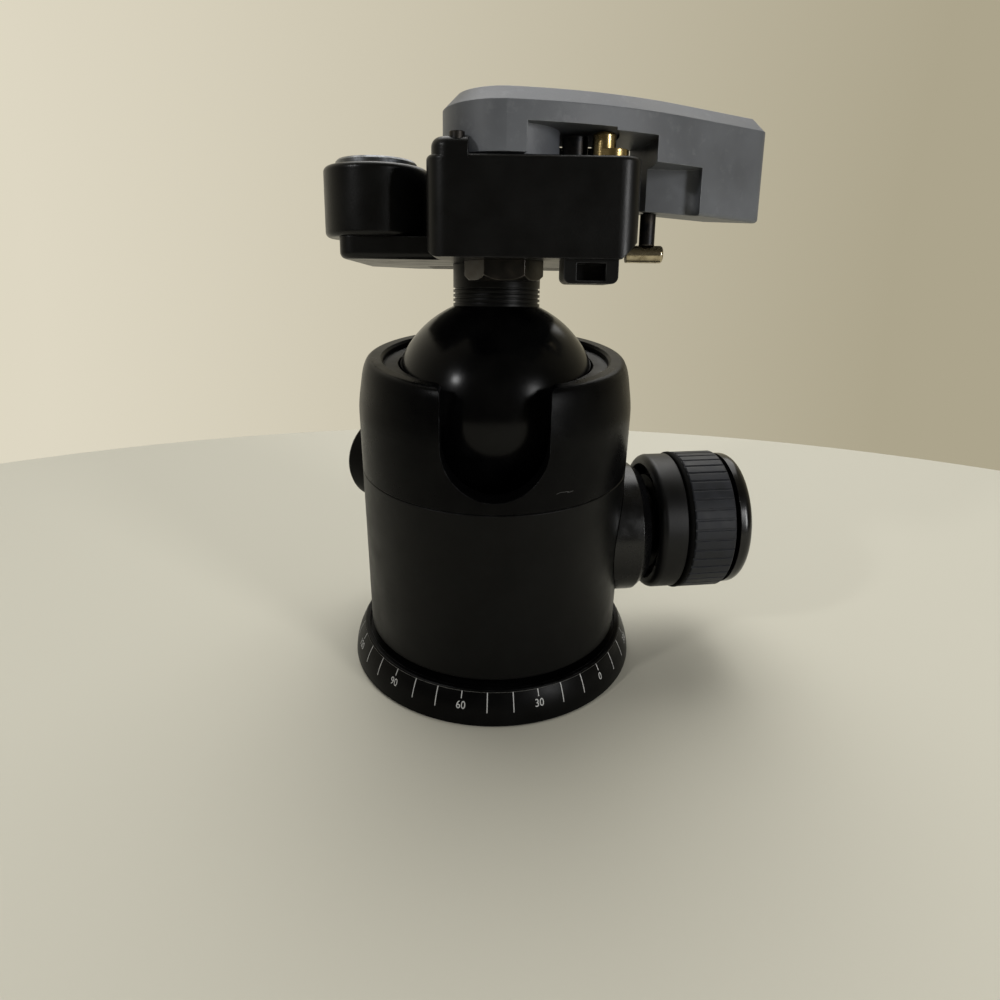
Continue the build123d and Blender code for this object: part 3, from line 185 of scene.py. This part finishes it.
def black_anodised_aluminium(name, colour="#060606", rough=0.38, sheen=0.12, grit_mm=0.30, depth_mm=0.012,
                             edge_lightening=0.35):
    """Blasted and black anodised aluminium: a soft sheen, a faint grain, and greyer edges, partly rub wear
    and partly a painted edge highlight.
    """
    material, tree, shader = new_material(name)
    at = place(tree)
    cloud = spread(tree, noise(tree, at, 9.0), 0.35, 0.65)
    dust = spread(tree, noise(tree, at, 0.9, 5.0, 0.7), 0.66, 0.80, 0.0, 0.30)
    base = blend(tree, cloud, linear(colour), linear("#0a0a0a"))
    dusty = blend(tree, dust, base, linear("#232220"))
    # Greyer edges: partly rub wear, partly a painted highlight along the bevels.
    edge = multiply(tree, worn_edges(tree, at, 0.28), edge_lightening)
    tree.links.new(blend(tree, edge, dusty, linear("#5a5b5d")), shader.inputs["Base Color"])
    tree.links.new(spread(tree, noise(tree, at, 6.0, 4.0), 0.3, 0.7, rough - 0.05, rough + 0.06),
                   shader.inputs["Roughness"])
    # The real grit is about 0.05 mm and would vanish, so it is drawn at a size that shows.
    tree.links.new(bump(tree, noise(tree, at, grit_mm, 2.0), depth_mm), shader.inputs["Normal"])
    shader.inputs["Specular IOR Level"].default_value = sheen
    return material


def turned_rings(tree, at, axis, pitch_mm):
    """Fine rings of a lathe tool, one after another along an axis, as a value from 0 to 1."""
    along = add_node(tree, "ShaderNodeSeparateXYZ", Vector=at).outputs[axis]
    wave = add_node(tree, "ShaderNodeMath", {"operation": "SINE"},
                    _0=multiply(tree, along, 2 * math.pi * per(pitch_mm)))
    return spread(tree, wave.outputs["Value"], -1.0, 1.0)


def turned_metal(name, colour, dark, rough, axis=2, pitch_mm=0.25, depth_mm=0.003):
    """Turned bright metal: fine tool rings that streak the reflections, and a thin tarnish."""
    material, tree, shader = new_material(name)
    at = place(tree)
    tarnish = spread(tree, noise(tree, at, 1.6, 5.0, 0.65), 0.42, 0.72)
    tree.links.new(blend(tree, tarnish, linear(colour), linear(dark)), shader.inputs["Base Color"])
    tree.links.new(spread(tree, tarnish, 0.0, 1.0, rough, rough + 0.14), shader.inputs["Roughness"])
    tree.links.new(bump(tree, turned_rings(tree, at, axis, pitch_mm), depth_mm), shader.inputs["Normal"])
    shader.inputs["Metallic"].default_value = 1.0
    return material


def black_lacquer(name, colour="#070708", rough=0.14):
    """Polished and black anodised: deep black with sharp highlights and fine hairline scuffs."""
    material, tree, shader = new_material(name)
    at = place(tree)
    scuffs = spread(tree, noise(tree, at, 0.7, 6.0, 0.8), 0.62, 0.75)
    tree.links.new(blend(tree, multiply(tree, scuffs, 0.25), linear(colour), linear("#2a2b2d")),
                   shader.inputs["Base Color"])
    tree.links.new(spread(tree, noise(tree, at, 3.5, 5.0), 0.35, 0.7, rough, rough + 0.12),
                   shader.inputs["Roughness"])
    tree.links.new(bump(tree, noise(tree, at, 0.8, 2.0), 0.002), shader.inputs["Normal"])
    shader.inputs["Specular IOR Level"].default_value = 0.4
    return material


def matt_grip(name):
    """Turned grip, anodised a bluish black and left matt, so that its ribs show by their shadows."""
    material, tree, shader = new_material(name)
    at = place(tree)
    cloud = spread(tree, noise(tree, at, 3.0, 4.0), 0.35, 0.68)
    edge = multiply(tree, worn_edges(tree, at, 0.2), 0.3)
    base = blend(tree, cloud, linear("#1a1c20"), linear("#22242a"))
    tree.links.new(blend(tree, edge, base, linear("#63666c")), shader.inputs["Base Color"])
    tree.links.new(spread(tree, cloud, 0.0, 1.0, 0.48, 0.6), shader.inputs["Roughness"])
    tree.links.new(bump(tree, noise(tree, at, 0.25, 2.0), 0.012), shader.inputs["Normal"])
    shader.inputs["Specular IOR Level"].default_value = 0.3
    return material


def black_rubber(name):
    """Moulded nitrile rubber: a dull black without a clear highlight, greyer where it has been fingered."""
    material, tree, shader = new_material(name)
    at = place(tree)
    fingered = spread(tree, noise(tree, at, 1.2, 5.0, 0.7), 0.5, 0.75, 0.0, 0.5)
    tree.links.new(blend(tree, fingered, linear("#020202"), linear("#0d0d0c")), shader.inputs["Base Color"])
    tree.links.new(bump(tree, noise(tree, at, 0.25, 3.0), 0.02), shader.inputs["Normal"])
    shader.inputs["Roughness"].default_value = 0.7
    shader.inputs["Specular IOR Level"].default_value = 0.06
    return material


def grey_painted_casting(name):
    """Die cast lever with a matt grey coat: a light orange peel, rubbed rims and a smeared, handled look."""
    material, tree, shader = new_material(name)
    at = place(tree)
    cloud = spread(tree, noise(tree, at, 14.0, 3.0), 0.32, 0.68)
    smear = spread(tree, noise(tree, at, 2.4, 5.0, 0.7), 0.55, 0.8)
    base = blend(tree, cloud, linear("#55575b"), linear("#676a6f"))
    handled = blend(tree, multiply(tree, smear, 0.35), base, linear("#85878b"))
    edge = multiply(tree, worn_edges(tree, at, 0.45, low=0.76), 0.55)
    chips = spread(tree, noise(tree, at, 0.55, 4.0, 0.7), 0.72, 0.77)
    chipped = blend(tree, multiply(tree, chips, 0.5), handled, linear("#2c2d30"))
    tree.links.new(blend(tree, edge, chipped, linear("#9c9ea1")), shader.inputs["Base Color"])
    tree.links.new(spread(tree, cloud, 0.0, 1.0, 0.42, 0.55), shader.inputs["Roughness"])
    tree.links.new(bump(tree, noise(tree, at, 0.4, 3.0), 0.014), shader.inputs["Normal"])
    return material


def blackened_steel(name, colour="#2e2d2d", rough=0.32, edge_lightening=0.8):
    """Oil-blackened steel: dark metal with a warm tinge, paler where a spanner or a neighbour rubs it."""
    material, tree, shader = new_material(name)
    at = place(tree)
    cloud = spread(tree, noise(tree, at, 1.8, 4.0), 0.35, 0.7)
    edge = multiply(tree, worn_edges(tree, at, 0.25), edge_lightening)
    base = blend(tree, cloud, linear(colour), linear("#3c3834"))
    tree.links.new(blend(tree, edge, base, linear("#9a9590")), shader.inputs["Base Color"])
    tree.links.new(spread(tree, cloud, 0.0, 1.0, rough, rough + 0.15), shader.inputs["Roughness"])
    tree.links.new(bump(tree, noise(tree, at, 0.3, 3.0), 0.004), shader.inputs["Normal"])
    shader.inputs["Metallic"].default_value = 1.0
    return material


def bearing_plastic(name, colour="#101010"):
    """Moulded acetal: a waxy dull skin with a very fine grain."""
    material, tree, shader = new_material(name)
    at = place(tree)
    cloud = noise(tree, at, 4.0)
    tree.links.new(blend(tree, cloud, linear(colour), linear("#181818")), shader.inputs["Base Color"])
    tree.links.new(spread(tree, cloud, 0.2, 0.8, 0.45, 0.6), shader.inputs["Roughness"])
    tree.links.new(bump(tree, noise(tree, at, 0.3, 2.0), 0.006), shader.inputs["Normal"])
    shader.inputs["IOR"].default_value = 1.48
    return material


def clear_acrylic(name):
    """Level's lens: clear cast acrylic with a faint haze."""
    material, tree, shader = new_material(name)
    haze = spread(tree, noise(tree, place(tree), 2.0, 4.0), 0.4, 0.75, 0.02, 0.10)
    tree.links.new(haze, shader.inputs["Roughness"])
    shader.inputs["Base Color"].default_value = linear("#f3f6ee")
    shader.inputs["Transmission Weight"].default_value = 1.0
    shader.inputs["IOR"].default_value = 1.49
    return material


def level_spirit(name):
    """Level's filling: alcohol dyed yellow-green, clear to its painted floor."""
    material, tree, shader = new_material(name)
    cloud = noise(tree, place(tree), 5.0)
    tree.links.new(blend(tree, cloud, linear("#b9cf5c"), linear("#a8c24a")), shader.inputs["Base Color"])
    shader.inputs["Roughness"].default_value = 0.05
    shader.inputs["Transmission Weight"].default_value = 0.55
    shader.inputs["IOR"].default_value = 1.36
    return material


def air_bubble(name):
    """Level's bubble: air, seen as a pale disc with a bright rim."""
    material, tree, shader = new_material(name)
    cloud = noise(tree, place(tree), 1.5)
    tree.links.new(blend(tree, cloud, linear("#eef4cf"), linear("#e2ebb8")), shader.inputs["Base Color"])
    shader.inputs["Roughness"].default_value = 0.08
    shader.inputs["IOR"].default_value = 1.3
    return material


def printing_ink(name, colour):
    """Pad-printed ink: flat and slightly broken where the dial is rubbed."""
    material, tree, shader = new_material(name)
    at = place(tree)
    rub = spread(tree, noise(tree, at, 0.6, 4.0, 0.7), 0.58, 0.72)
    tree.links.new(blend(tree, multiply(tree, rub, 0.5), linear(colour), linear("#6f6f6e")),
                   shader.inputs["Base Color"])
    tree.links.new(bump(tree, noise(tree, at, 0.2, 2.0), 0.004), shader.inputs["Normal"])
    shader.inputs["Roughness"].default_value = 0.6
    return material


def dress(material, *names):
    """Give CAD nodes a finish."""
    for name in names:
        slots = NODES[name].material_slots
        for slot in slots:
            slot.material = material
        if not slots:
            NODES[name].data.materials.append(material)


# ---------------------------------------------------------------- mesh helpers


def make_piece(name, shape, material, body):
    """Put a finished bmesh in the scene with its finish, on the body that carries it."""
    mesh = bpy.data.meshes.new(name)
    shape.to_mesh(mesh)
    piece = bpy.data.objects.new(name, mesh)
    bpy.context.scene.collection.objects.link(piece)
    mesh.materials.append(material)
    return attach(piece, body)


def on_dial(angle, height, lift):
    """Point on the pan dial's slope at an angle round from the front and a height, lifted off the metal."""
    out = Vector((math.sin(angle), -math.cos(angle), 0))
    start = out * OUTSIDE + Vector((0, 0, height))
    hit, where, normal, _ = NODES["pan_dial_ring"].ray_cast(start, -out)
    if not hit:
        raise RuntimeError("a dial mark misses the dial")
    return where + normal * lift


def on_front(x, z, lift):
    """Point on the collar's front at a place across and up, lifted off the metal."""
    hit, where, normal, _ = NODES["upper_collar"].ray_cast(Vector((x, -OUTSIDE, z)), Vector((0, 1, 0)))
    if not hit:
        raise RuntimeError("a scratch misses the collar")
    return where + normal * lift


def ribbon(strips, points, width, side):
    """Strip of faces along points, a width across, widened along a side direction."""
    rows = [[strips.verts.new(p + side * (width * s)) for s in (-0.5, 0.5)] for p in points]
    for a, b in zip(rows, rows[1:]):
        strips.faces.new((a[0], a[1], b[1], b[0]))


# ---------------------------------------------------------------- table, light and camera


def lay_table(colour):
    """Round plain table whose far edge shows behind the head; only shadow darkens it."""
    mesh = bpy.data.meshes.new("table")
    disc = bmesh.new()
    bmesh.ops.create_circle(disc, cap_ends=True, segments=TABLE_SIDES, radius=TABLE_RADIUS)
    disc.to_mesh(mesh)
    material, tree, shader = new_material("plain_table")
    shader.inputs["Base Color"].default_value = colour
    shader.inputs["Roughness"].default_value = 0.9
    shader.inputs["Specular IOR Level"].default_value = 0.2
    mesh.materials.append(material)
    table = bpy.data.objects.new("table", mesh)
    table.location = TABLE_CENTRE
    bpy.context.scene.collection.objects.link(table)


def light_room(room, wall_left, wall_right):
    """Soft surroundings, pale behind the head and dim in front of it; gloss and glass show the same wall."""
    world = bpy.data.worlds.new("soft_room")
    world.use_nodes = True
    bpy.context.scene.world = world
    tree = world.node_tree
    tree.nodes.clear()
    towards = add_node(tree, "ShaderNodeTexCoord").outputs["Generated"]
    axes = add_node(tree, "ShaderNodeSeparateXYZ", Vector=towards).outputs
    depth = spread(tree, axes["Y"], -0.4, 0.7, DIM_IN_FRONT, 1.0)
    light = add_node(tree, "ShaderNodeBackground", Color=room, Strength=multiply(tree, depth, ROOM_SHARE))
    rays = add_node(tree, "ShaderNodeLightPath").outputs
    plain = add_node(tree, "ShaderNodeMath", {"operation": "MAXIMUM"}, _0=rays["Is Camera Ray"], _1=depth)
    across = blend(tree, spread(tree, axes["X"], -0.5, 0.45), wall_left, wall_right)
    wall = add_node(tree, "ShaderNodeBackground", Color=across, Strength=plain.outputs["Value"])
    mirrored = add_node(tree, "ShaderNodeMath", _0=rays["Is Glossy Ray"], _1=rays["Is Transmission Ray"])
    seen = add_node(tree, "ShaderNodeMath", {"use_clamp": True}, _0=rays["Is Camera Ray"],
                    _1=mirrored.outputs["Value"])
    mixed = add_node(tree, "ShaderNodeMixShader", _0=seen.outputs["Value"], _1=light.outputs[0],
                     _2=wall.outputs[0])
    add_node(tree, "ShaderNodeOutputWorld", Surface=mixed.outputs[0])


def hang_lamp(name, power, where, width, height):
    """Soft rectangular lamp that faces the head."""
    light = bpy.data.lights.new(name, "AREA")
    light.shape, light.size, light.size_y, light.energy = "RECTANGLE", width, height, power
    lamp = bpy.data.objects.new(name, light)
    lamp.location = where
    lamp.rotation_euler = (HEAD_MIDDLE - where).to_track_quat("-Z", "Y").to_euler()
    bpy.context.scene.collection.objects.link(lamp)


def set_camera(lens):
    """Camera a little above the head, in front of its drop slot."""
    view = bpy.data.cameras.new("camera")
    view.lens, view.sensor_width, view.clip_start, view.clip_end = lens, 36, 0.005, 20
    camera = bpy.data.objects.new("camera", view)
    level_aim = Vector((math.sin(CAMERA_YAW), math.cos(CAMERA_YAW), 0))
    aim = level_aim * math.cos(CAMERA_PITCH) - Vector((0, 0, math.sin(CAMERA_PITCH)))
    turn = aim.to_track_quat("-Z", "Y").to_matrix() @ Matrix.Rotation(CAMERA_ROLL, 3, "Z")
    camera.matrix_world = Matrix.Translation(CAMERA_PLACE) @ turn.to_4x4()
    bpy.context.scene.collection.objects.link(camera)
    bpy.context.scene.camera = camera
    bpy.context.scene.view_settings.view_transform = "Standard"


# ---------------------------------------------------------------- settings


class BallHeadDial(bpy.types.PropertyGroup):
    """Printed scale of the pan dial."""

    zero: FloatProperty(name="Zero", description="Place of the zero mark, round from the front",
                        default=math.radians(48.3), subtype="ANGLE")
    step: IntProperty(name="Step", description="Degrees from one tick to the next", default=10)
    labels: IntProperty(name="Labels", description="Degrees from one number to the next", default=30)
    tick_width: FloatProperty(name="Tick width", description="Width of a printed tick", default=0.19 * MM,
                              precision=5, unit="LENGTH")
    tick_top: FloatProperty(name="Tick top", description="Height of the ticks' upper ends", default=7.28 * MM,
                            precision=5, unit="LENGTH")
    tick_foot: FloatProperty(name="Tick foot", description="Height of a long tick's lower end",
                             default=3.4 * MM, precision=5, unit="LENGTH")
    short_foot: FloatProperty(name="Short tick foot", description="Height of a short tick's lower end",
                              default=5.9 * MM, precision=5, unit="LENGTH")
    # The line round the rim is a painted highlight along the dial's top edge.
    rim_height: FloatProperty(name="Rim height", description="Height of the line rubbed bare at the rim",
                              default=7.28 * MM, precision=5, unit="LENGTH")
    rim_width: FloatProperty(name="Rim width", description="Width of that line", default=0.1 * MM,
                             precision=5, unit="LENGTH")
    number_size: FloatProperty(name="Number size", description="Height of a printed number",
                               default=1.75 * MM, precision=5, unit="LENGTH")
    number_height: FloatProperty(name="Number place", description="Height of the numbers' feet",
                                 default=3.9 * MM, precision=5, unit="LENGTH")


class BallHeadStage(bpy.types.PropertyGroup):
    """Table, light and camera."""

    table: FloatVectorProperty(name="Table", description="Colour of the plain table", size=4,
                               default=linear("#cac6b6"), min=0, max=1, subtype="COLOR")
    wall_left: FloatVectorProperty(name="Wall at the left", description="Colour behind the table at its left",
                                   size=4, default=linear("#ded7c3"), min=0, max=1, subtype="COLOR")
    wall_right: FloatVectorProperty(name="Wall at the right", description="Colour behind it at its right",
                                    size=4, default=linear("#aca48c"), min=0, max=1, subtype="COLOR")
    room: FloatVectorProperty(name="Room", description="Colour of the soft light all round", size=4,
                              default=linear("#f0f0ec"), min=0, max=1, subtype="COLOR")
    sun: FloatProperty(name="Sun", description="Strength of the wide soft light from behind and above",
                       default=1.1, min=0)
    skylight: FloatProperty(name="Skylight", description="Power of the broad lamp behind and above",
                            default=0.9, unit="POWER")
    window: FloatProperty(name="Window", description="Power of the soft light in front at the right",
                          default=1.7, unit="POWER")
    bulb: FloatProperty(name="Bulb", description="Power of the small lamp in front at the left", default=0.45,
                        unit="POWER")
    lens: FloatProperty(name="Lens", description="Focal length of the camera", default=27.36,
                        subtype="DISTANCE_CAMERA")


# ---------------------------------------------------------------- operators


class BALLHEAD_OT_base(bpy.types.Operator):
    """Finish the base, its threaded bush and the pan dial's ring"""

    bl_idname = "ballhead.base"
    bl_label = "Base and Pan Dial"
    bl_options = {"REGISTER", "UNDO"}

    def execute(self, context):
        # The dial's edges are made much lighter than elsewhere: rub wear, and a painted highlight along its
        # top edge.
        dress(black_anodised_aluminium("anodised_aluminium_dial", "#030303", 0.34, 0.08, edge_lightening=0.8),
              "pan_dial_ring")
        dress(turned_metal("turned_aluminium_base", "#9a9a9b", "#77777a", 0.34), "base_plate")
        dress(turned_metal("plated_steel_bush", "#c4c0b8", "#96928a", 0.24), "tripod_thread_bush")
        dress(turned_metal("plated_steel_retainer", "#b5b2ac", "#8a8781", 0.3), "pan_retainer")
        dress(blackened_steel("blackened_steel_base_screws"), "dial_screws", "retainer_screws")
        dress(bearing_plastic("acetal_pan_washer"), "pan_washer")
        return {"FINISHED"}


class BALLHEAD_OT_dial_marks(bpy.types.Operator):
    """Print the ticks and numbers on the pan dial, and paint a bright highlight line round its rim"""

    bl_idname = "ballhead.dial_marks"
    bl_label = "Dial Ticks and Numbers"
    bl_options = {"REGISTER", "UNDO"}

    def execute(self, context):
        dial = context.scene.ball_head_dial
        ink = printing_ink("printing_ink_dial", "#c3c3c1")
        ticks = bmesh.new()
        for mark in range(0, 360, dial.step):
            angle = dial.zero - math.radians(mark)
            foot = dial.short_foot if mark % dial.labels == 0 else dial.tick_foot
            heights = [dial.tick_top + (foot - dial.tick_top) * i / TICK_SPANS
                       for i in range(TICK_SPANS + 1)]
            side = Vector((math.cos(angle), math.sin(angle), 0))
            line = [on_dial(angle, height, PRINT_LIFT) for height in heights]
            ribbon(ticks, line, dial.tick_width, side)
        make_piece("dial_ticks", ticks, ink, "base")
        numbers = bmesh.new()
        for mark in range(0, 360, dial.labels):
            text = bpy.data.curves.new("number", "FONT")
            text.body, text.align_x, text.resolution_u = str(mark), "CENTER", 3
            text.size = dial.number_size * FONT_SIZE_OF_NUMBER
            holder = bpy.data.objects.new("number", text)
            context.scene.collection.objects.link(holder)
            context.view_layer.update()
            flat = bpy.data.meshes.new_from_object(holder)
            bpy.data.objects.remove(holder)
            angle = dial.zero - math.radians(mark)
            for vertex in flat.vertices:
                turn = vertex.co.x * NUMBER_WIDTH_SHARE / DIAL_RADIUS
                rise = vertex.co.y * NUMBER_HEIGHT_SHARE
                vertex.co = on_dial(angle + turn, dial.number_height + rise, PRINT_LIFT)
            numbers.from_mesh(flat)
            bpy.data.meshes.remove(flat)
        make_piece("dial_numbers", numbers, ink, "base")
        # A thin bright metal ribbon round the dial's top edge: a painted highlight standing in for the light
        # its chamfer catches.
        rim = bmesh.new()
        turns = [2 * math.pi * i / RIM_SPANS for i in range(RIM_SPANS + 1)]
        circle = [on_dial(angle, dial.rim_height, PRINT_LIFT) for angle in turns]
        ribbon(rim, circle, dial.rim_width, Vector((0, 0, 1)))
        bare = turned_metal("painted_highlight_line_metal", "#8b8c8e", "#4a4b4c", 0.35)
        make_piece("dial_painted_highlight_line", rim, bare, "base")
        return {"FINISHED"}


class BALLHEAD_OT_housing(bpy.types.Operator):
    """Finish the housing, the collar with its drop slot, and the seat inside"""

    bl_idname = "ballhead.housing"
    bl_label = "Housing and Collar"
    bl_options = {"REGISTER", "UNDO"}

    def execute(self, context):
        dress(black_anodised_aluminium("anodised_aluminium_housing"), "housing_body")
        dress(black_anodised_aluminium("anodised_aluminium_collar", "#030304", 0.3, 0.06), "upper_collar")
        dress(black_lacquer("polished_anodised_boss", "#0a0a0b", 0.2), "knob_boss")
        dress(bearing_plastic("acetal_seat"), "collar_liner", "lower_cup")
        dress(blackened_steel("blackened_steel_grub_screws"), "collar_grub_screws")
        dress(turned_metal("spring_steel_washer", "#a9a7a2", "#7f7d78", 0.3), "cup_wave_washer")
        return {"FINISHED"}


class BALLHEAD_OT_scratches(bpy.types.Operator):
    """Scratch the collar beside the slot, where a camera plate has knocked it"""

    bl_idname = "ballhead.scratches"
    bl_label = "Scratches by the Slot"
    bl_options = {"REGISTER", "UNDO"}

    def execute(self, context):
        marks = bmesh.new()
        for scratch in SCRATCHES:
            run = [scratch["length"] * i / SCRATCH_SPANS for i in range(SCRATCH_SPANS + 1)]
            points = [on_front((scratch["x"] + along) * MM, (scratch["z"] + along * scratch["slope"]) * MM,
                               SCRATCH_LIFT) for along in run]
            ribbon(marks, points, SCRATCH_WIDTH, Vector((0, 0, 1)))
        bare = turned_metal("bare_aluminium_scratch", "#6c6d6f", "#525354", 0.45)
        make_piece("collar_scratches", marks, bare, "housing")
        return {"FINISHED"}


class BALLHEAD_OT_main_knob(bpy.types.Operator):
    """Finish the main locking knob, its friction dial, its spindle and the plunger it drives"""

    bl_idname = "ballhead.main_knob"
    bl_label = "Main Knob"
    bl_options = {"REGISTER", "UNDO"}

    def execute(self, context):
        # The core is its own black, made darker still and almost without sheen: painted shade in the gap
        # beside the friction dial.
        dress(black_anodised_aluminium("anodised_aluminium_knob_core_painted_shade", "#020202", 0.5, 0.04), "knob_core")
        dress(black_anodised_aluminium("anodised_aluminium_friction_dial", "#0b0b0c", 0.42, 0.25, edge_lightening=0.4),
              "friction_dial")
        dress(black_rubber("rubber_ring"), "knob_ring")
        dress(matt_grip("anodised_aluminium_grip"), "knob_grip")
        dress(black_lacquer("polished_anodised_cap"), "knob_cap")
        dress(blackened_steel("blackened_steel_knob_screw"), "knob_screw", "spindle_clip")
        dress(blackened_steel("blackened_steel_spindle", "#151413", 0.4, 0.2), "knob_spindle")
        dress(turned_metal("plated_steel_plunger", "#8f8d8a", "#5c5a57", 0.3, axis=0), "lock_plunger")
        return {"FINISHED"}


class BALLHEAD_OT_pan_knob(bpy.types.Operator):
    """Finish the pan lock's knob, screw and brake pin"""

    bl_idname = "ballhead.pan_knob"
    bl_label = "Pan Lock Knob"
    bl_options = {"REGISTER", "UNDO"}

    def execute(self, context):
        dress(black_anodised_aluminium("anodised_aluminium_pan_knob", "#040404", 0.5, 0.04, edge_lightening=0.3),
              "pan_knob_head")
        dress(black_lacquer("gloss_abs_inlay"), "pan_knob_inlay")
        dress(turned_metal("plated_steel_pan_screw", "#9a9894", "#6d6b67", 0.28), "pan_knob_screw")
        dress(turned_metal("brass_brake_pin", "#b89a5e", "#7a6238", 0.3), "pan_brake_pin")
        return {"FINISHED"}


class BALLHEAD_OT_ball(bpy.types.Operator):
    """Finish the ball and its stem"""

    bl_idname = "ballhead.ball"
    bl_label = "Ball and Stem"
    bl_options = {"REGISTER", "UNDO"}

    def execute(self, context):
        dress(black_anodised_aluminium("anodised_aluminium_ball", "#020203", 0.2, 0.15, 0.22, 0.004), "ball")
        dress(black_anodised_aluminium("anodised_aluminium_stem", "#080808", 0.36, 0.2, edge_lightening=0.3), "stem")
        dress(blackened_steel("blackened_steel_clamp_screw"), "clamp_screw")
        return {"FINISHED"}


class BALLHEAD_OT_clamp(bpy.types.Operator):
    """Finish the clamp's casting and what is fixed to it"""

    bl_idname = "ballhead.clamp"
    bl_label = "Clamp"
    bl_options = {"REGISTER", "UNDO"}

    def execute(self, context):
        dress(black_anodised_aluminium("powder_coated_clamp", "#0a0a0a", 0.34, 0.25, 0.4, 0.016, 0.3),
              "clamp_body")
        dress(black_anodised_aluminium("powder_coated_trigger_block", "#0d0d0d", 0.38, 0.25, edge_lightening=0.9),
              "trigger_block")
        dress(blackened_steel("blackened_steel_nut", "#383736", 0.28, 1.0), "pivot_nut", "pivot_bolt")
        dress(blackened_steel("blackened_steel_posts", "#27282a", 0.36), "lever_stop_post",
              "spring_anchor_pin", "lever_spring", "trigger_spring")
        dress(bearing_plastic("acetal_pivot_washer"), "pivot_washer")
        dress(turned_metal("brass_trigger", "#c2ab78", "#7d6a44", 0.22), "trigger_pin")
        return {"FINISHED"}


class BALLHEAD_OT_lever(bpy.types.Operator):
    """Finish the lever and the catch that hangs from it"""

    bl_idname = "ballhead.lever"
    bl_label = "Lever and Catch"
    bl_options = {"REGISTER", "UNDO"}

    def execute(self, context):
        dress(grey_painted_casting("painted_zinc_lever"), "lever")
        dress(blackened_steel("blackened_steel_catch_post", "#232427", 0.38), "catch_post")
        dress(turned_metal("nickel_catch_pin", "#b9ad92", "#756a52", 0.2, axis=0), "catch_pin")
        return {"FINISHED"}


class BALLHEAD_OT_level(bpy.types.Operator):
    """Finish the round level: its boss, ring, lens, spirit and bubble"""

    bl_idname = "ballhead.level"
    bl_label = "Level"
    bl_options = {"REGISTER", "UNDO"}

    def execute(self, context):
        dress(black_anodised_aluminium("powder_coated_level_boss", "#080808", 0.32, 0.25, 0.4, 0.016, 0.3),
              "level_boss")
        dress(turned_metal("satin_aluminium_level_ring", "#77797c", "#505255", 0.34), "level_bezel")
        dress(clear_acrylic("clear_acrylic_lens"), "level_lens")
        dress(level_spirit("dyed_spirit"), "level_fluid")
        dress(air_bubble("air_bubble"), "level_bubble")
        dress(blackened_steel("blackened_steel_level_screw"), "level_boss_screw")
        return {"FINISHED"}


class BALLHEAD_OT_stage(bpy.types.Operator):
    """Set the head on a plain table with soft light and a camera"""

    bl_idname = "ballhead.stage"
    bl_label = "Table, Light and Camera"
    bl_options = {"REGISTER", "UNDO"}

    def execute(self, context):
        stage = context.scene.ball_head_stage
        lay_table(stage.table)
        light_room(stage.room, stage.wall_left, stage.wall_right)
        sun = bpy.data.lights.new("soft_sun", "SUN")
        sun.energy, sun.angle = stage.sun, SUN_WIDTH
        lamp = bpy.data.objects.new("soft_sun", sun)
        lamp.rotation_euler = SUN_DIRECTION.to_track_quat("-Z", "Y").to_euler()
        context.scene.collection.objects.link(lamp)
        hang_lamp("skylight", stage.skylight, **SKYLIGHT)
        hang_lamp("window", stage.window, **WINDOW)
        hang_lamp("bulb", stage.bulb, **BULB)
        set_camera(stage.lens)
        return {"FINISHED"}


# ---------------------------------------------------------------- panel and registration

STEPS = (BALLHEAD_OT_base, BALLHEAD_OT_dial_marks, BALLHEAD_OT_housing, BALLHEAD_OT_scratches,
         BALLHEAD_OT_main_knob, BALLHEAD_OT_pan_knob, BALLHEAD_OT_ball, BALLHEAD_OT_clamp,
         BALLHEAD_OT_lever, BALLHEAD_OT_level, BALLHEAD_OT_stage)


class VIEW3D_PT_ball_head(bpy.types.Panel):
    """Sizes, colours and steps of the ball head"""

    bl_label = "Ball Head"
    bl_idname = "VIEW3D_PT_ball_head"
    bl_space_type = "VIEW_3D"
    bl_region_type = "UI"
    bl_category = "Ball Head"

    def draw(self, context):
        for step in STEPS:
            self.layout.operator(step.bl_idname)
        for group in (context.scene.ball_head_dial, context.scene.ball_head_stage):
            box = self.layout.box()
            for name in group.__annotations__:
                box.prop(group, name)


CLASSES = (BallHeadDial, BallHeadStage) + STEPS + (VIEW3D_PT_ball_head,)


def register():
    """Add the settings, the steps and their panel."""
    for cls in CLASSES:
        bpy.utils.register_class(cls)
    bpy.types.Scene.ball_head_dial = PointerProperty(type=BallHeadDial)
    bpy.types.Scene.ball_head_stage = PointerProperty(type=BallHeadStage)


def unregister():
    """Take them away again."""
    del bpy.types.Scene.ball_head_stage
    del bpy.types.Scene.ball_head_dial
    for cls in reversed(CLASSES):
        bpy.utils.unregister_class(cls)


def main():
    """Make everything in order."""
    register()
    for step in STEPS:
        space, name = step.bl_idname.split(".")
        getattr(getattr(bpy.ops, space), name)()


if __name__ == "__main__":
    main()
